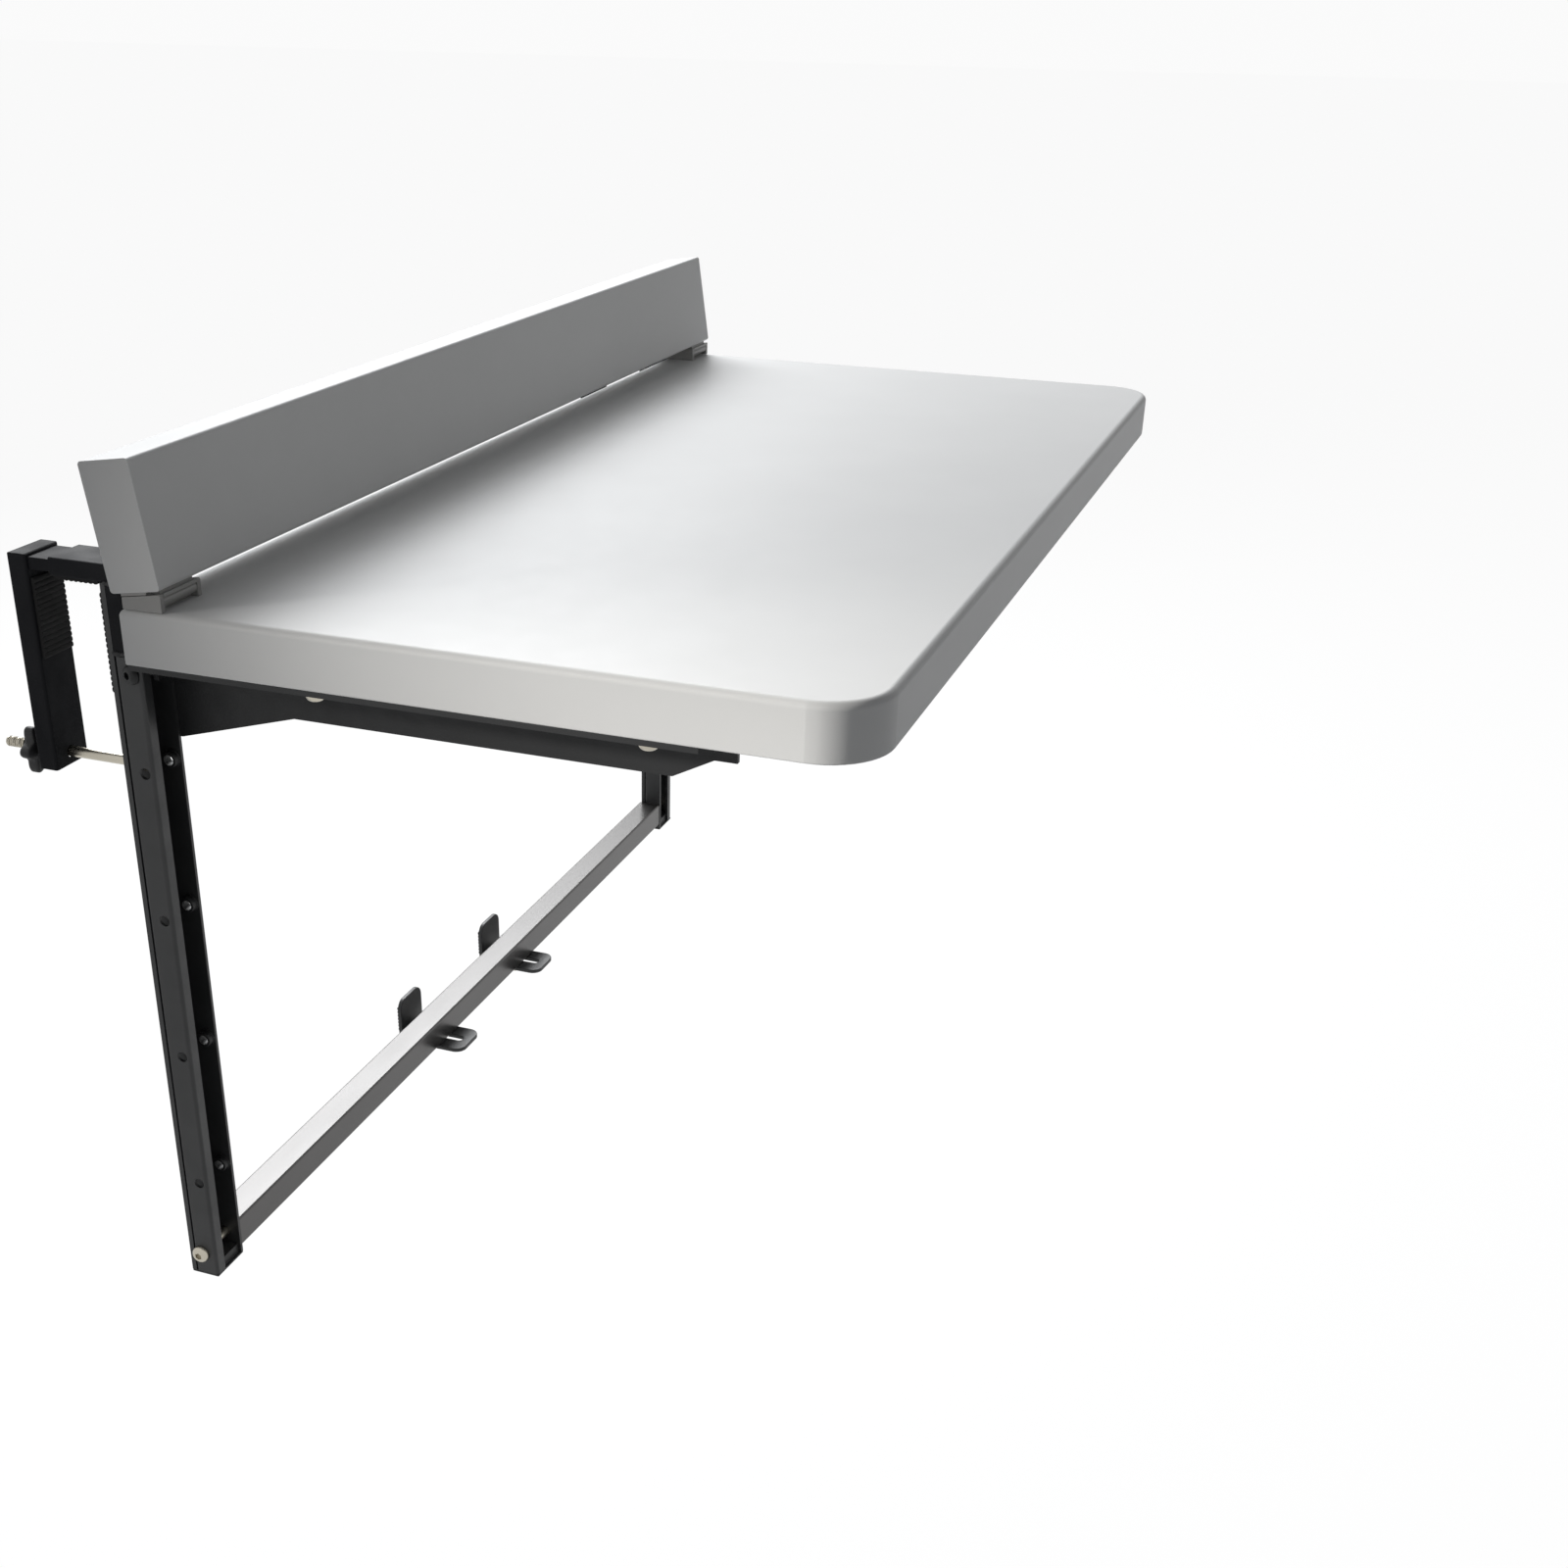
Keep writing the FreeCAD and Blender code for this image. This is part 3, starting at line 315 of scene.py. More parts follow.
def mesh_object(name, verts, faces):
    """An object from points and faces, with normals outward and smooth shading."""
    mesh = bpy.data.meshes.new(name)
    mesh.from_pydata([tuple(v) for v in verts], [], [tuple(f) for f in faces])
    work = bmesh.new()
    work.from_mesh(mesh)
    bmesh.ops.remove_doubles(work, verts=work.verts, dist=1e-6)
    bmesh.ops.recalc_face_normals(work, faces=work.faces)
    work.to_mesh(mesh)
    work.free()
    shade(mesh, SHARP)
    made = bpy.data.objects.new(name, mesh)
    scene.collection.objects.link(made)
    return made


def shade(mesh, angle):
    """Smooth shading with sharp edges where the faces turn by more than the angle."""
    work = bmesh.new()
    work.from_mesh(mesh)
    for face in work.faces:
        face.smooth = True
    for edge in work.edges:
        turn_by = edge.calc_face_angle(0.0) if len(edge.link_faces) == 2 else math.pi
        edge.smooth = turn_by < math.radians(angle)
    work.to_mesh(mesh)
    work.free()


def turned(name, profile, count=32):
    """A solid turned about Z from (radius, height) pairs in millimetres, closed at both ends."""
    verts = []
    faces = []
    for radius, height in profile:
        for i in range(count):
            a = 2 * math.pi * i / count
            verts.append((radius * MM * math.cos(a), radius * MM * math.sin(a), height * MM))
    for row in range(len(profile) - 1):
        for i in range(count):
            j = (i + 1) % count
            below, above = row * count, (row + 1) * count
            faces.append((below + i, below + j, above + j, above + i))
    faces.append(tuple(range(count))[::-1])
    faces.append(tuple((len(profile) - 1) * count + i for i in range(count)))
    return mesh_object(name, verts, faces)


def prism(name, sides, across_flats, low_end, high_end, twist=0.0, taper=1.0):
    """A prism about Z, used as a nut's hexagon or a socket's cutter."""
    radius = across_flats / 2 / math.cos(math.pi / sides)
    ring = [(math.cos(twist + 2 * math.pi * i / sides), math.sin(twist + 2 * math.pi * i / sides))
            for i in range(sides)]
    verts = [(x * radius * MM * taper, y * radius * MM * taper, low_end * MM) for x, y in ring]
    verts += [(x * radius * MM, y * radius * MM, high_end * MM) for x, y in ring]
    faces = [(i, (i + 1) % sides, sides + (i + 1) % sides, sides + i) for i in range(sides)]
    faces += [tuple(range(sides))[::-1], tuple(range(sides, 2 * sides))]
    return mesh_object(name, verts, faces)


def carve(base, cutter, how="DIFFERENCE"):
    """Cuts, joins or intersects two solids and keeps the result in the first."""
    cut = base.modifiers.new("cut", "BOOLEAN")
    cut.operation = how
    cut.solver = "EXACT"
    cut.object = cutter
    made = plain(base, base.name)
    bpy.data.objects.remove(cutter)
    return made


def plain(source, name):
    """Replaces an object that has modifiers by its evaluated mesh."""
    seen_by = bpy.context.evaluated_depsgraph_get()
    mesh = bpy.data.meshes.new_from_object(source.evaluated_get(seen_by))
    mesh.name = name
    source.modifiers.clear()
    source.data = mesh
    return source


def moved(made, matrix):
    """Puts a matrix into the mesh, so that the object itself stays at the origin."""
    made.data.transform(matrix)
    made.data.update()
    return made


def dressed(made, coat, body, slot, *hidden):
    """Gives a piece its finish, its body and the solids that it stands for."""
    made.data.materials.clear()
    made.data.materials.append(coat)
    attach(made, body)
    if hidden:
        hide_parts(*hidden)
    return made


print("helpers ready")

# %% [markdown]
# ## Fastener models
# The bolts are button heads with a hexagon socket, the slab's screws are pan heads with a cross
# recess, and the nuts have turned chamfers. They could be drawn point by point, but cutting a prism
# out of a turned dome is how the real ones get their shape.

# %% Fastener models
THREAD = 3.0          # radius of every M6 thread, in millimetres
BORE = 3.02           # radius of the holes round it
HEAD = 5.5            # radius of a bolt's or screw's head
NUT_FLATS = 10.0


def dome(high, crown=0.42, edge=0.3, steps=7):
    """Profile of a rounded head, from its rim up to the flat crown."""
    rim = [(HEAD - 0.25, 0.0), (HEAD, edge)]
    for i in range(1, steps):
        a = math.pi / 2 * i / steps
        rim.append((HEAD * (crown + (1 - crown) * math.cos(a) ** 0.9),
                    edge + (high - edge) * math.sin(a)))
    return rim + [(HEAD * crown, high)]


def button_bolt(name, shank):
    """A bolt along -Z under a button head at Z 0, with a hexagon socket."""
    bolt = turned(name, [(2.4, -shank), (THREAD, -shank + 0.8), (THREAD, 0.0)] + dome(3.6), 40)
    return carve(bolt, prism("socket", 6, 4.0, 1.5, 5.0, taper=0.97))


def cross_screw(name, shank, high):
    """A pan head screw along -Z with a tapered cross recess."""
    screw = turned(name, [(0.3, -shank), (2.9, -shank + 4), (THREAD, 0.0)] + dome(high))
    for turn_by in (0.0, math.pi / 2):
        blade = prism("blade", 4, 1.25, high * 0.45, high + 1.5, math.pi / 4, taper=0.7)
        moved(blade, Matrix.Rotation(turn_by, 4, "Z") @ Matrix.Diagonal((3.6, 1.0, 1.0, 1.0)))
        screw = carve(screw, blade)
    return screw


def hex_nut(name, high=5.0, washer=True):
    """A nut from Z 0 up, chamfered on top, on a washer where one is asked for."""
    low_end = 1.0 if washer else 0.0
    top_end = low_end + high
    nut = prism(name, 6, NUT_FLATS, low_end, top_end)
    lathe = turned("lathe", [(5.4, low_end - 0.1), (5.95, low_end + 0.4), (5.95, top_end - 1.0),
                             (4.7, top_end + 0.05)], 48)
    nut = carve(nut, lathe, "INTERSECT")
    if washer:
        ring = turned("ring", [(6.3, 0.0), (6.5, 0.15), (6.5, 0.85), (6.3, 1.02)], 48)
        nut = carve(nut, ring, "UNION")
    return carve(nut, turned("bore", [(BORE, -1.0), (BORE, top_end + 1.0)]))


pivot_model = button_bolt("pivot_model", 39.3)
bar_model = button_bolt("bar_model", 47.0)
screw_model = cross_screw("screw_model", 19.0, 4.5)
low_screw_model = cross_screw("low_screw_model", 19.0, 1.7)
nut_model = hex_nut("nut_model")
bare_nut_model = hex_nut("bare_nut_model", washer=False)
MODELS = (pivot_model, bar_model, screw_model, low_screw_model, nut_model, bare_nut_model)
print("faces of the fastener models:", [len(model.data.polygons) for model in MODELS])

# %% [markdown]
# ## Fasteners in their places
# Every fastener of a kind is the same part in another place, so a small geometry tree stands the
# model on a list of points. Copies in a loop would do too, but with points a place can be changed in
# one line.


# %% A tree that sets one model on many points
def link(tree, *pairs):
    """Links sockets given as (from, to) pairs."""
    for start, stop in pairs:
        tree.links.new(start, stop)


def opened(name, sizes=(), **others):
    """A new tree with named inputs, the finish last, and the identifiers of those inputs."""
    tree = bpy.data.node_groups.new(name, "GeometryNodeTree")
    kinds = {**others, **dict.fromkeys(sizes, "Float"), "Finish": "Material"}
    ids = {}
    for label, kind in kinds.items():
        socket = tree.interface.new_socket(label, in_out="INPUT", socket_type="NodeSocket" + kind)
        ids[label] = socket.identifier
    tree.interface.new_socket("Geometry", in_out="OUTPUT", socket_type="NodeSocketGeometry")
    return tree, tree.nodes.new("NodeGroupInput").outputs, ids


def closed(tree, geometry, coat):
    """Ends a tree in plain geometry that wears the finish."""
    real = tree.nodes.new("GeometryNodeRealizeInstances")
    paint = tree.nodes.new("GeometryNodeSetMaterial")
    outward = tree.nodes.new("NodeGroupOutput")
    link(tree, (geometry, real.inputs["Geometry"]),
         (real.outputs["Geometry"], paint.inputs["Geometry"]), (coat, paint.inputs["Material"]),
         (paint.outputs["Geometry"], outward.inputs["Geometry"]))


def place_tree():
    """Instances a model on points that carry their own turn."""
    tree, given, ids = opened("model_on_points", Points="Geometry", Model="Object")
    model = tree.nodes.new("GeometryNodeObjectInfo")
    spin = tree.nodes.new("GeometryNodeInputNamedAttribute")
    spin.data_type = "FLOAT_VECTOR"
    spin.inputs["Name"].default_value = "turn"
    stand = tree.nodes.new("GeometryNodeInstanceOnPoints")
    link(tree, (given["Model"], model.inputs["Object"]), (given["Points"], stand.inputs["Points"]),
         (model.outputs["Geometry"], stand.inputs["Instance"]),
         (spin.outputs["Attribute"], stand.inputs["Rotation"]))
    closed(tree, stand.outputs["Instances"], given["Finish"])
    return tree, ids


def grown(name, tree, ids, values, base=None):
    """Runs a tree on a base mesh and keeps the result as a plain mesh."""
    if base is None:
        base = bpy.data.meshes.new(name)
    made = bpy.data.objects.new(name, base)
    scene.collection.objects.link(made)
    run = made.modifiers.new("tree", "NODES")
    run.node_group = tree
    for key, value in values.items():
        run[ids[key]] = value
    return plain(made, name)


def points(name, places):
    """A mesh of points, each with a turn in radians."""
    mesh = bpy.data.meshes.new(name)
    mesh.from_pydata([tuple(c * MM for c in at) for at, _ in places], [], [])
    turns = mesh.attributes.new("turn", "FLOAT_VECTOR", "POINT")
    for i, (_, spun) in enumerate(places):
        turns.data[i].vector = spun
    return mesh


on_points, point_ids = place_tree()


def set_out(name, model, coat, body, slot, places, hidden):
    """Stands a model on every place, as one piece that rides on a body."""
    made = grown(name, on_points, point_ids, {"Model": model, "Finish": coat}, points(name, places))
    shade(made.data, SHARP)
    return dressed(made, coat, body, slot, *hidden)


# %% Fasteners in place
# Turns that point a model's +Z along +X, -X, -Z and +Y.
EAST = (0.0, math.pi / 2, 0.0)
WEST = (0.0, -math.pi / 2, 0.0)
DOWN = (math.pi, 0.0, 0.0)
REAR = (-math.pi / 2, 0.0, 0.0)
SIDES = (("left", -1), ("right", 1))
# Seats in millimetres, where the underside of a head or nut lies on what it presses.
BOLT_SEAT = 388.0
PIVOT_NUT_SEAT = 356.6
SCREW_SEAT = -39.0
CLIP_NUT_SEAT = -431.7
TIE_NUT_SEAT = -2.5
TIE_X = 374.0         # the tie rod's line, which runs along Y
TIE_Z = -101.5
PIVOT_TWIST = 0.35    # how far the pivot bolt's socket is turned about its axis


def centre(node, axis):
    """Middle of a solid along one axis, in millimetres."""
    lowest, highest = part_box(node)
    return (lowest[axis] + highest[axis]) / 2 / MM


for tag, side in SIDES:
    outward, inward = (WEST, EAST) if side < 0 else (EAST, WEST)

    def seat(node, across):
        """A place on a crosswise bolt's axis, at a distance from the middle of the table."""
        return (side * across, centre(node + tag, 1), centre(node + tag, 2))

    set_out("pivot_button_" + tag, pivot_model, powder, "frame", "black_steel",
            [(seat("pivot_bolt_", BOLT_SEAT), (PIVOT_TWIST * side, outward[1], 0.0))],
            ["pivot_bolt_" + tag])
    set_out("bar_button_" + tag, bar_model, zinc, "frame", "bright_steel",
            [(seat("bar_bolt_", BOLT_SEAT), outward)], ["bar_bolt_" + tag])
    set_out("pivot_lock_" + tag, nut_model, zinc, "frame", "bright_steel",
            [(seat("pivot_nut_", PIVOT_NUT_SEAT), inward)], ["pivot_nut_" + tag])
    heads = []
    for order, run in enumerate(("rear", "mid", "front")):
        name = "arm_screw_%s_%s" % (run, tag)
        cross_turn = 0.4 + 0.7 * order
        heads.append(((centre(name, 0), centre(name, 1), SCREW_SEAT), (math.pi, 0.0, cross_turn)))
    set_out("low_screw_" + tag, low_screw_model, zinc, "top", "bright_steel", heads[:1],
            ["arm_screw_rear_" + tag])
    set_out("slab_screws_" + tag, screw_model, zinc, "top", "bright_steel", heads[1:],
            ["arm_screw_mid_" + tag, "arm_screw_front_" + tag])
    set_out("tie_lock_" + tag, bare_nut_model, zinc, "frame", "bright_steel",
            [((side * TIE_X, TIE_NUT_SEAT, TIE_Z), REAR)], ["tie_nut_" + tag])
for tag, _ in SIDES:
    under = (centre("clip_nut_" + tag, 0), centre("clip_nut_" + tag, 1), CLIP_NUT_SEAT)
    set_out("clip_lock_" + tag, nut_model, zinc, "frame", "bright_steel", [(under, DOWN)],
            ["clip_nut_" + tag])
for model in MODELS:
    bpy.data.objects.remove(model)

# %% [markdown]
# ## Tie rods
# A tie rod has a plain shank and a rolled thread where the star knob runs. The tree sweeps a small
# diamond along a spiral, which is what a thread is, and joins it to the core and to the collar. A
# bump texture could show the lines, but it would not show in the outline.

# %% Tie rods
def lifted(tree, geometry, height):
    """Moves geometry up by the height that a socket gives."""
    shift = tree.nodes.new("GeometryNodeTransform")
    up = tree.nodes.new("ShaderNodeCombineXYZ")
    link(tree, (geometry, shift.inputs["Geometry"]), (height, up.inputs["Z"]),
         (up.outputs["Vector"], shift.inputs["Translation"]))
    return shift.outputs["Geometry"]


def calc(tree, how, a, b=0.0):
    """A math node with linked or fixed values."""
    made = tree.nodes.new("ShaderNodeMath")
    made.operation = how
    for i, value in enumerate((a, b)):
        if isinstance(value, (int, float)):
            made.inputs[i].default_value = value
        else:
            tree.links.new(value, made.inputs[i])
    return made.outputs[0]


def rod_tree():
    """A collar, a plain shank and a threaded tail along +Z."""
    names = ("Radius", "Collar Radius", "Collar Length", "Shank Length", "Thread Length", "Pitch",
             "Thread Depth")
    tree, size, ids = opened("threaded_rod", names)
    join = tree.nodes.new("GeometryNodeJoinGeometry")
    core_radius = calc(tree, "SUBTRACT", size["Radius"], size["Thread Depth"])
    for radius, length, start in ((size["Collar Radius"], size["Collar Length"], 0.0),
                                  (size["Radius"], size["Shank Length"], 0.0),
                                  (core_radius, size["Thread Length"], size["Shank Length"])):
        rod = tree.nodes.new("GeometryNodeMeshCylinder")
        rod.inputs["Vertices"].default_value = 40
        link(tree, (radius, rod.inputs["Radius"]), (length, rod.inputs["Depth"]))
        middle = calc(tree, "ADD", start, calc(tree, "MULTIPLY", length, 0.5))
        link(tree, (lifted(tree, rod.outputs["Mesh"], middle), join.inputs["Geometry"]))
    spiral = tree.nodes.new("GeometryNodeCurveSpiral")
    spiral.inputs["Resolution"].default_value = 28
    wound = calc(tree, "SUBTRACT", size["Thread Length"], size["Pitch"])
    link(tree, (calc(tree, "DIVIDE", wound, size["Pitch"]), spiral.inputs["Rotations"]),
         (core_radius, spiral.inputs["Start Radius"]), (core_radius, spiral.inputs["End Radius"]),
         (wound, spiral.inputs["Height"]))
    diamond = tree.nodes.new("GeometryNodeCurvePrimitiveCircle")
    diamond.inputs["Resolution"].default_value = 4
    link(tree, (size["Thread Depth"], diamond.inputs["Radius"]))
    sweep = tree.nodes.new("GeometryNodeCurveToMesh")
    sweep.inputs["Fill Caps"].default_value = True
    link(tree, (spiral.outputs["Curve"], sweep.inputs["Curve"]),
         (diamond.outputs["Curve"], sweep.inputs["Profile Curve"]))
    start = calc(tree, "ADD", size["Shank Length"], calc(tree, "MULTIPLY", size["Pitch"], 0.5))
    link(tree, (lifted(tree, sweep.outputs["Mesh"], start), join.inputs["Geometry"]))
    closed(tree, join.outputs["Geometry"], size["Finish"])
    return tree, ids


def on_tie_line(side, start):
    """Lays a shape that stands along +Z on a tie rod's line, from a start along Y in metres."""
    return (Matrix.Translation((side * TIE_X * MM, start, TIE_Z * MM))
            @ Matrix.Rotation(-math.pi / 2, 4, "X"))


ROD_START = -11.5
rod_nodes, rod_ids = rod_tree()
for tag, side in SIDES:
    sizes = {"Radius": THREAD * MM, "Collar Radius": 4.4 * MM, "Collar Length": 4.0 * MM,
             "Shank Length": 57.5 * MM, "Thread Length": 38.0 * MM, "Pitch": 1.0 * MM,
             "Thread Depth": 0.38 * MM, "Finish": zinc}
    made = grown("tie_screw_" + tag, rod_nodes, rod_ids, sizes)
    shade(made.data, 35)
    moved(made, on_tie_line(side, ROD_START * MM))
    dressed(made, zinc, "frame", "bright_steel", "tie_rod_" + tag)
print("tie rods have", len(made.data.polygons), "faces each")

# %% [markdown]
# ## Star knobs
# A star knob's outline follows a rule: its radius swells and shrinks six times in a turn, most at
# the grip and not at all on the hub. The tree bends a flat grid round by that rule. A cylinder with
# lobes stuck on would show seams where fingers go.

# %% Star knobs
def curve_points(node, stops):
    """Sets the points of a float curve."""
    curve = node.mapping.curves[0]
    curve.points[0].location = stops[0]
    curve.points[1].location = stops[-1]
    for x, y in stops[1:-1]:
        curve.points.new(x, y)
    for point in curve.points:
        point.handle_type = "AUTO_CLAMPED"
    node.mapping.update()


def split_position(tree):
    """The X, Y and Z of the points that the tree works on."""
    at = tree.nodes.new("GeometryNodeInputPosition")
    split = tree.nodes.new("ShaderNodeSeparateXYZ")
    link(tree, (at.outputs["Position"], split.inputs["Vector"]))
    return split.outputs


def reshaped(tree, geometry, x, y, z):
    """Puts every point of a geometry where three sockets say."""
    put = tree.nodes.new("ShaderNodeCombineXYZ")
    shape = tree.nodes.new("GeometryNodeSetPosition")
    link(tree, (x, put.inputs["X"]), (y, put.inputs["Y"]), (z, put.inputs["Z"]),
         (geometry, shape.inputs["Geometry"]), (put.outputs["Vector"], shape.inputs["Position"]))
    return shape.outputs["Geometry"]


def knob_tree():
    """A closed band round Z whose radius follows three curves and a wave."""
    tree, size, ids = opened("star_knob", ("Radius", "Length", "Lobe Depth", "Lobes"))
    grid = tree.nodes.new("GeometryNodeMeshGrid")
    for socket, value in {"Size X": 1.0, "Size Y": 1.0, "Vertices X": 121, "Vertices Y": 33}.items():
        grid.inputs[socket].default_value = value
    flat = split_position(tree)
    round_turn = calc(tree, "MULTIPLY", calc(tree, "ADD", flat["X"], 0.5), 2 * math.pi)
    along = calc(tree, "ADD", flat["Y"], 0.5)

    def curve(stops):
        made = tree.nodes.new("ShaderNodeFloatCurve")
        curve_points(made, stops)
        link(tree, (along, made.inputs["Value"]))
        return made.outputs["Value"]

    # Round the band: out along the hub's face, up the hub, over the grip, in across the cap and
    # down the bore.
    radial = curve([(0.0, 0.207), (0.06, 0.38), (0.12, 0.40), (0.22, 0.42), (0.30, 0.86),
                    (0.36, 0.985), (0.44, 1.0), (0.56, 1.0), (0.64, 0.96), (0.72, 0.80),
                    (0.80, 0.62), (0.88, 0.30), (0.94, 0.207), (1.0, 0.207)])
    height = curve([(0.0, 0.0), (0.06, 0.0), (0.12, 0.04), (0.22, 0.30), (0.30, 0.40), (0.36, 0.46),
                    (0.44, 0.55), (0.56, 0.76), (0.64, 0.87), (0.72, 0.95), (0.80, 0.985),
                    (0.88, 1.0), (0.94, 0.98), (1.0, 0.0)])
    grip = curve([(0.0, 0.0), (0.20, 0.0), (0.30, 0.75), (0.38, 1.0), (0.62, 1.0), (0.74, 0.5),
                  (0.84, 0.0), (1.0, 0.0)])
    wave = calc(tree, "COSINE", calc(tree, "MULTIPLY", round_turn, size["Lobes"]))
    dip = calc(tree, "MULTIPLY", calc(tree, "SUBTRACT", 0.5, calc(tree, "MULTIPLY", wave, 0.5)),
               calc(tree, "MULTIPLY", grip, size["Lobe Depth"]))
    radius = calc(tree, "MULTIPLY", calc(tree, "SUBTRACT", radial, dip), size["Radius"])
    bent = reshaped(tree, grid.outputs["Mesh"],
                    calc(tree, "MULTIPLY", radius, calc(tree, "COSINE", round_turn)),
                    calc(tree, "MULTIPLY", radius, calc(tree, "SINE", round_turn)),
                    calc(tree, "MULTIPLY", height, size["Length"]))
    close = tree.nodes.new("GeometryNodeMergeByDistance")
    close.inputs["Distance"].default_value = 0.01 * MM
    link(tree, (bent, close.inputs["Geometry"]))
    closed(tree, close.outputs["Geometry"], size["Finish"])
    return tree, ids


knob_nodes, knob_ids = knob_tree()
for tag, side in SIDES:
    sizes = {"Radius": 15.0 * MM, "Length": 13.0 * MM, "Lobe Depth": 0.30, "Lobes": 6.0,
             "Finish": moulded}
    made = grown("star_grip_" + tag, knob_nodes, knob_ids, sizes)
    work = bmesh.new()
    work.from_mesh(made.data)
    bmesh.ops.recalc_face_normals(work, faces=work.faces)
    work.to_mesh(made.data)
    work.free()
    shade(made.data, 50)
    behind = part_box("knob_" + tag)[0][1]
    moved(made, on_tie_line(side, behind))
    dressed(made, moulded, "knob_" + tag, "black_plastic", "knob_" + tag)
print("star knobs have", len(made.data.polygons), "faces each")

# %% [markdown]
# ## Rubber pads
# The pads grip the handrail with moulded ribs. Their face is one wave repeated along the pad, so
# the tree bends the top of a finely divided block by that wave. Single ribs could be set on a
# plate, but real pads come out of one mould.

# %% Ribbed pads
RIB_HEIGHT = 0.7
RIB_PITCH = 3.0


def pad_tree():
    """A block on Z 0 whose top face carries rounded ribs across its length."""
    tree, size, ids = opened("ribbed_pad", ("Width", "Length", "Thickness", "Rib Height", "Ribs"))
    block = tree.nodes.new("GeometryNodeMeshCube")
    block.inputs["Size"].default_value = (1, 1, 1)
    block.inputs["Vertices X"].default_value = 2
    block.inputs["Vertices Z"].default_value = 2
    per_rib = calc(tree, "ADD", calc(tree, "MULTIPLY", size["Ribs"], 8.0), 1.0)
    link(tree, (per_rib, block.inputs["Vertices Y"]))
    unit = split_position(tree)
    phase = calc(tree, "MULTIPLY", calc(tree, "ADD", unit["Y"], 0.5),
                 calc(tree, "MULTIPLY", size["Ribs"], math.pi))
    swing = calc(tree, "ABSOLUTE", calc(tree, "SINE", phase))
    rib = calc(tree, "MULTIPLY", calc(tree, "POWER", swing, 0.55), size["Rib Height"])
    on_top = calc(tree, "GREATER_THAN", unit["Z"], 0.0)
    plain_top = calc(tree, "SUBTRACT", size["Thickness"], size["Rib Height"])
    ribbed = reshaped(tree, block.outputs["Mesh"], calc(tree, "MULTIPLY", unit["X"], size["Width"]),
                      calc(tree, "MULTIPLY", unit["Y"], size["Length"]),
                      calc(tree, "MULTIPLY", on_top, calc(tree, "ADD", plain_top, rib)))
    closed(tree, ribbed, size["Finish"])
    return tree, ids


pad_nodes, pad_ids = pad_tree()
# Each kind of pad with its body and its directions across, along and out of the ribs.
PADS = {"back_pad": ("frame", (1, 0, 0), (0, 0, -1), (0, 1, 0)),
        "hook_pad": ("frame", (1, 0, 0), (0, -1, 0), (0, 0, -1)),
        "jaw_pad": ("jaw_{}", (1, 0, 0), (0, 0, 1), (0, -1, 0)),
        "clip_pad": ("clip_{}", (1, 0, 0), (0, 0, -1), (0, 1, 0))}


def pad_on(node, body, ways):
    """A ribbed pad in the box of a plain one, from its across, along and pressing directions."""
    across, along, press = (Vector(w) for w in ways)
    lowest, highest = (Vector(c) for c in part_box(node))
    spread = highest - lowest
    middle = (lowest + highest) / 2
    wide, long, deep = (abs(spread.dot(w)) for w in (across, along, press))
    sizes = {"Width": wide, "Length": long, "Thickness": deep, "Rib Height": RIB_HEIGHT * MM,
             "Ribs": float(round(long / (RIB_PITCH * MM))), "Finish": rubber}
    made = grown("ribbed_" + node, pad_nodes, pad_ids, sizes)
    shade(made.data, 40)
    seat = Matrix((across, along, press)).transposed().to_4x4()
    moved(made, Matrix.Translation(middle - press * deep / 2) @ seat)
    dressed(made, rubber, body, "black_rubber", node)


for kind, (body, *ways) in PADS.items():
    for tag, _ in SIDES:
        pad_on("%s_%s" % (kind, tag), body.format(tag), ways)
print("ribbed pads:", 2 * len(PADS))

# %% [markdown]
# ## Weld beads
# The hook's post is welded to its foot and to the tube. A bead is a row of small overlapping
# puddles, so the tree walks along each seam and sets one at every step. A swept tube would look
# like cord, while the puddles give the ripple that a hand weld has.

# %% Weld beads
def weld_tree():
    """Small overlapping drops along the edges of a mesh."""
    tree, size, ids = opened("weld_bead", ("Radius", "Step"), Seams="Geometry")
    curve = tree.nodes.new("GeometryNodeMeshToCurve")
    steps = tree.nodes.new("GeometryNodeCurveToPoints")
    steps.mode = "LENGTH"
    drop = tree.nodes.new("GeometryNodeMeshUVSphere")
    drop.inputs["Segments"].default_value = 10
    drop.inputs["Rings"].default_value = 6
    stand = tree.nodes.new("GeometryNodeInstanceOnPoints")
    uneven = tree.nodes.new("FunctionNodeRandomValue")
    uneven.data_type = "FLOAT"
    uneven.inputs[2].default_value = 0.85
    uneven.inputs[3].default_value = 1.15
    uneven.inputs["Seed"].default_value = 5
    link(tree, (size["Seams"], curve.inputs["Mesh"]),
         (curve.outputs["Curve"], steps.inputs["Curve"]), (size["Step"], steps.inputs["Length"]),
         (size["Radius"], drop.inputs["Radius"]), (steps.outputs["Points"], stand.inputs["Points"]),
         (drop.outputs["Mesh"], stand.inputs["Instance"]),
         (uneven.outputs[1], stand.inputs["Scale"]))
    closed(tree, stand.outputs["Instances"], size["Finish"])
    return tree, ids


weld_nodes, weld_ids = weld_tree()


POST_HALF = 14.0     # half the width of a hook's post
FOOT_SHEET = 1.6     # the foot's sheet, on which the lower bead lies
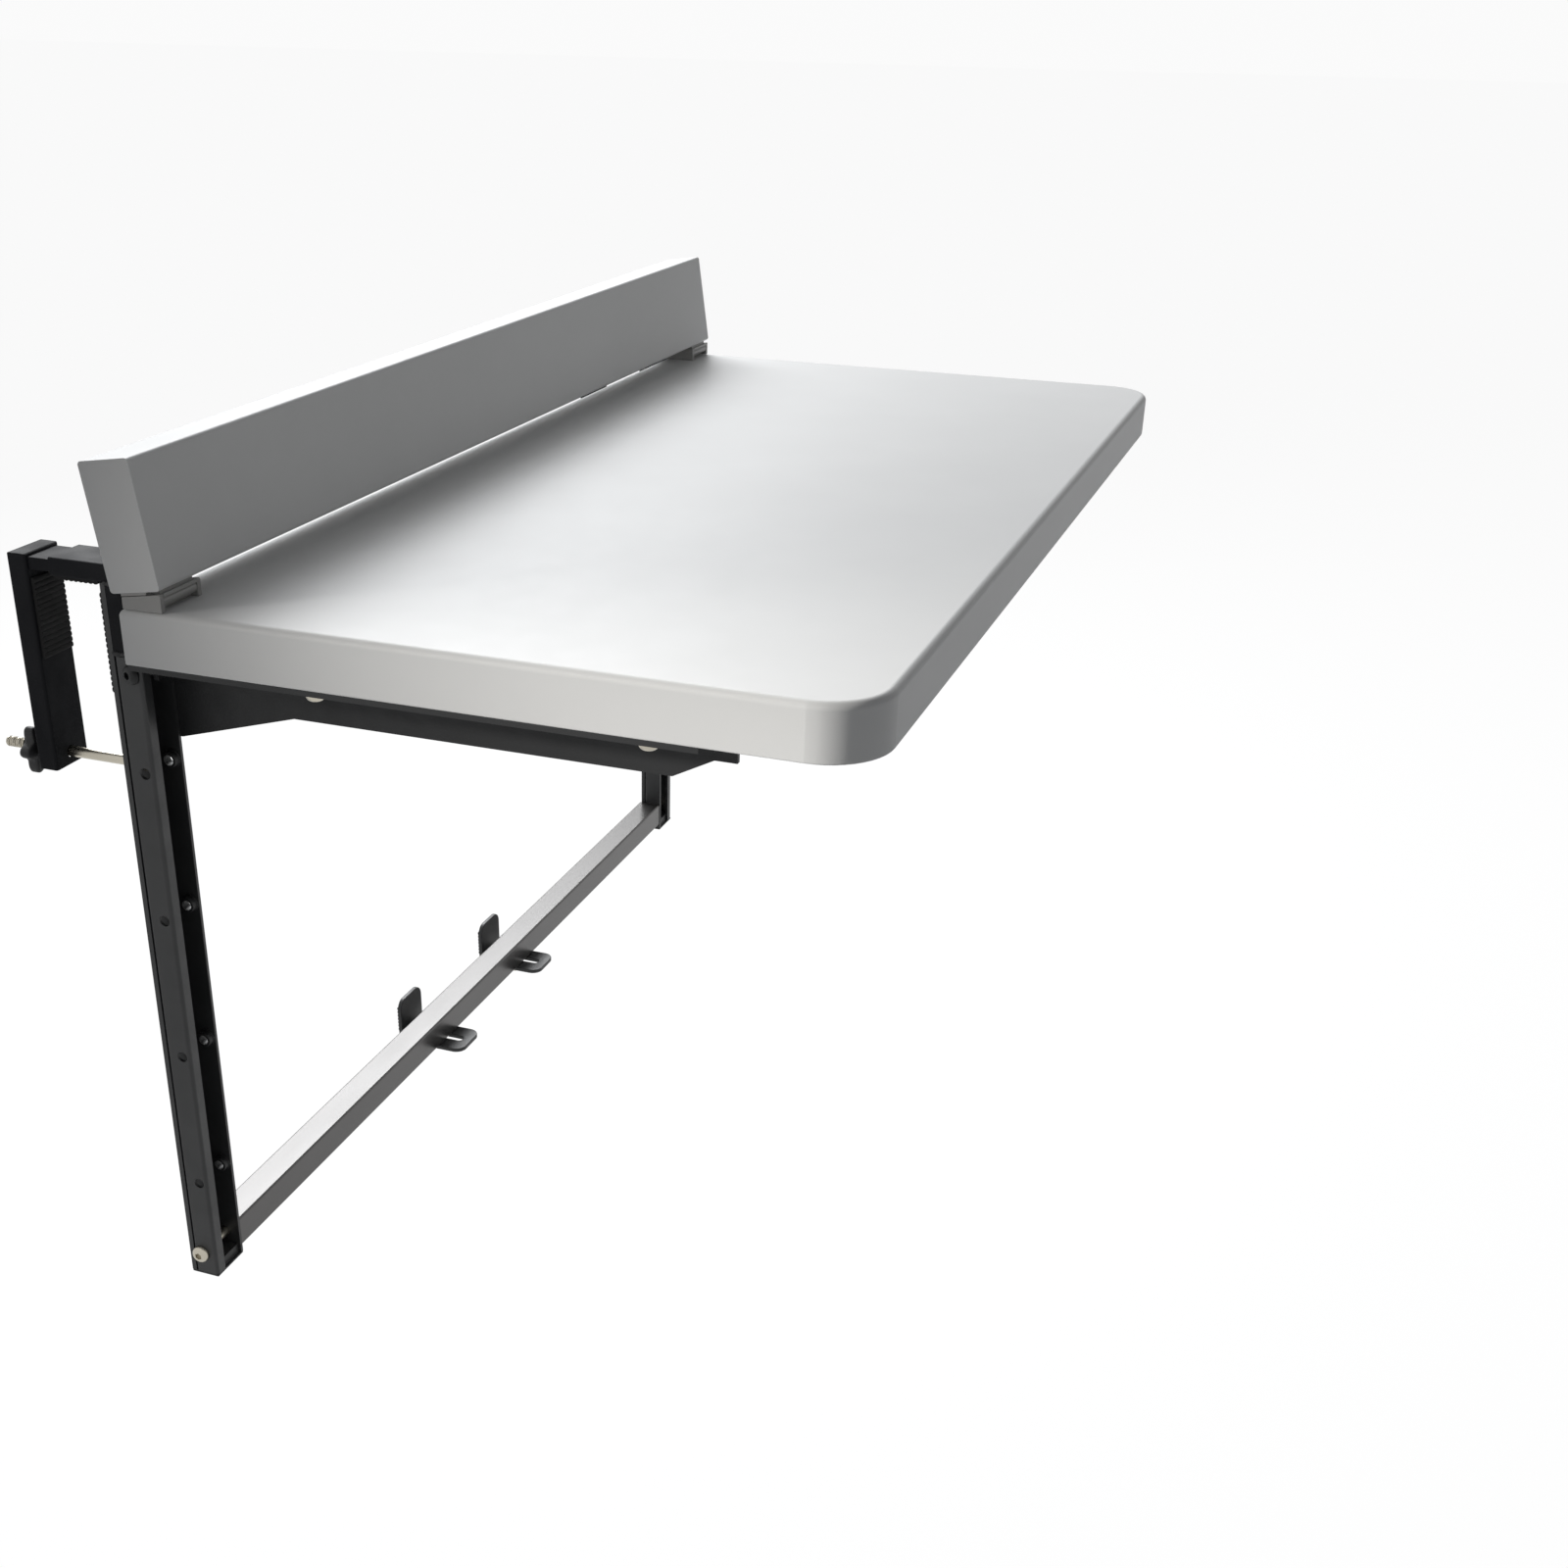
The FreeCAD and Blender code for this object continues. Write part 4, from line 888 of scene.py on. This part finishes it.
# Corners 0 to 3 go round the foot and 4 to 7 under the tube, where one side has no bead.
SEAMS = [(0, 1), (1, 2), (2, 3), (3, 0), (4, 5), (6, 7), (7, 4)]
for tag, _ in SIDES:
    post_low, post_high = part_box("hook_post_" + tag)
    tube_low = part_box("hook_tube_" + tag)[0]
    middle = centre("hook_post_" + tag, 0)
    x0, x1 = (middle - POST_HALF) * MM, (middle + POST_HALF) * MM
    y0, y1 = tube_low[1], post_high[1]
    corners = [(x, y, z) for z in (post_low[2] + FOOT_SHEET * MM, tube_low[2])
               for x, y in ((x0, y0), (x1, y0), (x1, y1), (x0, y1))]
    mesh = bpy.data.meshes.new("seams")
    mesh.from_pydata(corners, SEAMS, [])
    made = grown("weld_beads_" + tag, weld_nodes, weld_ids,
                 {"Radius": 1.3 * MM, "Step": 1.1 * MM, "Finish": powder}, mesh)
    shade(made.data, 60)
    dressed(made, powder, "frame", "black_steel")
print("weld beads have", len(made.data.polygons), "faces on each hook")

# %% [markdown]
# ## Press nuts
# A height bolt needs more thread than thin sheet gives, so a collar is pressed into each hole from
# inside the channel. Seen at an angle, its bore leaves only a crescent of light. The collars could
# be threaded, but the bores are too small for the turns to show.

# %% Press nuts
CHANNEL_WALL = 2.0
HOLE_Y = -15.5
FIRST_HOLE_Z = -101.5
HOLE_PITCH = 88.0
HOLES = 4
profile = [(5.2, 0.0), (5.2, 0.8), (4.5, 1.1), (4.5, 4.2), (4.2, 4.5)]
collar_bore = turned("collar_bore", [(BORE, -1), (BORE, 6)])
collar_model = carve(turned("collar_model", profile), collar_bore)
for tag, side in SIDES:
    inner = min(abs(c[0]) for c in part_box("upright_" + tag)) / MM + CHANNEL_WALL
    places = [((side * inner, HOLE_Y, FIRST_HOLE_Z - HOLE_PITCH * i), EAST if side > 0 else WEST)
              for i in range(HOLES)]
    set_out("press_nuts_" + tag, collar_model, powder, "frame", "black_steel", places, [])
bpy.data.objects.remove(collar_model)
print("press nuts stand in", 2 * HOLES, "holes")

# %% Look settings
scene.view_settings.view_transform = "Standard"
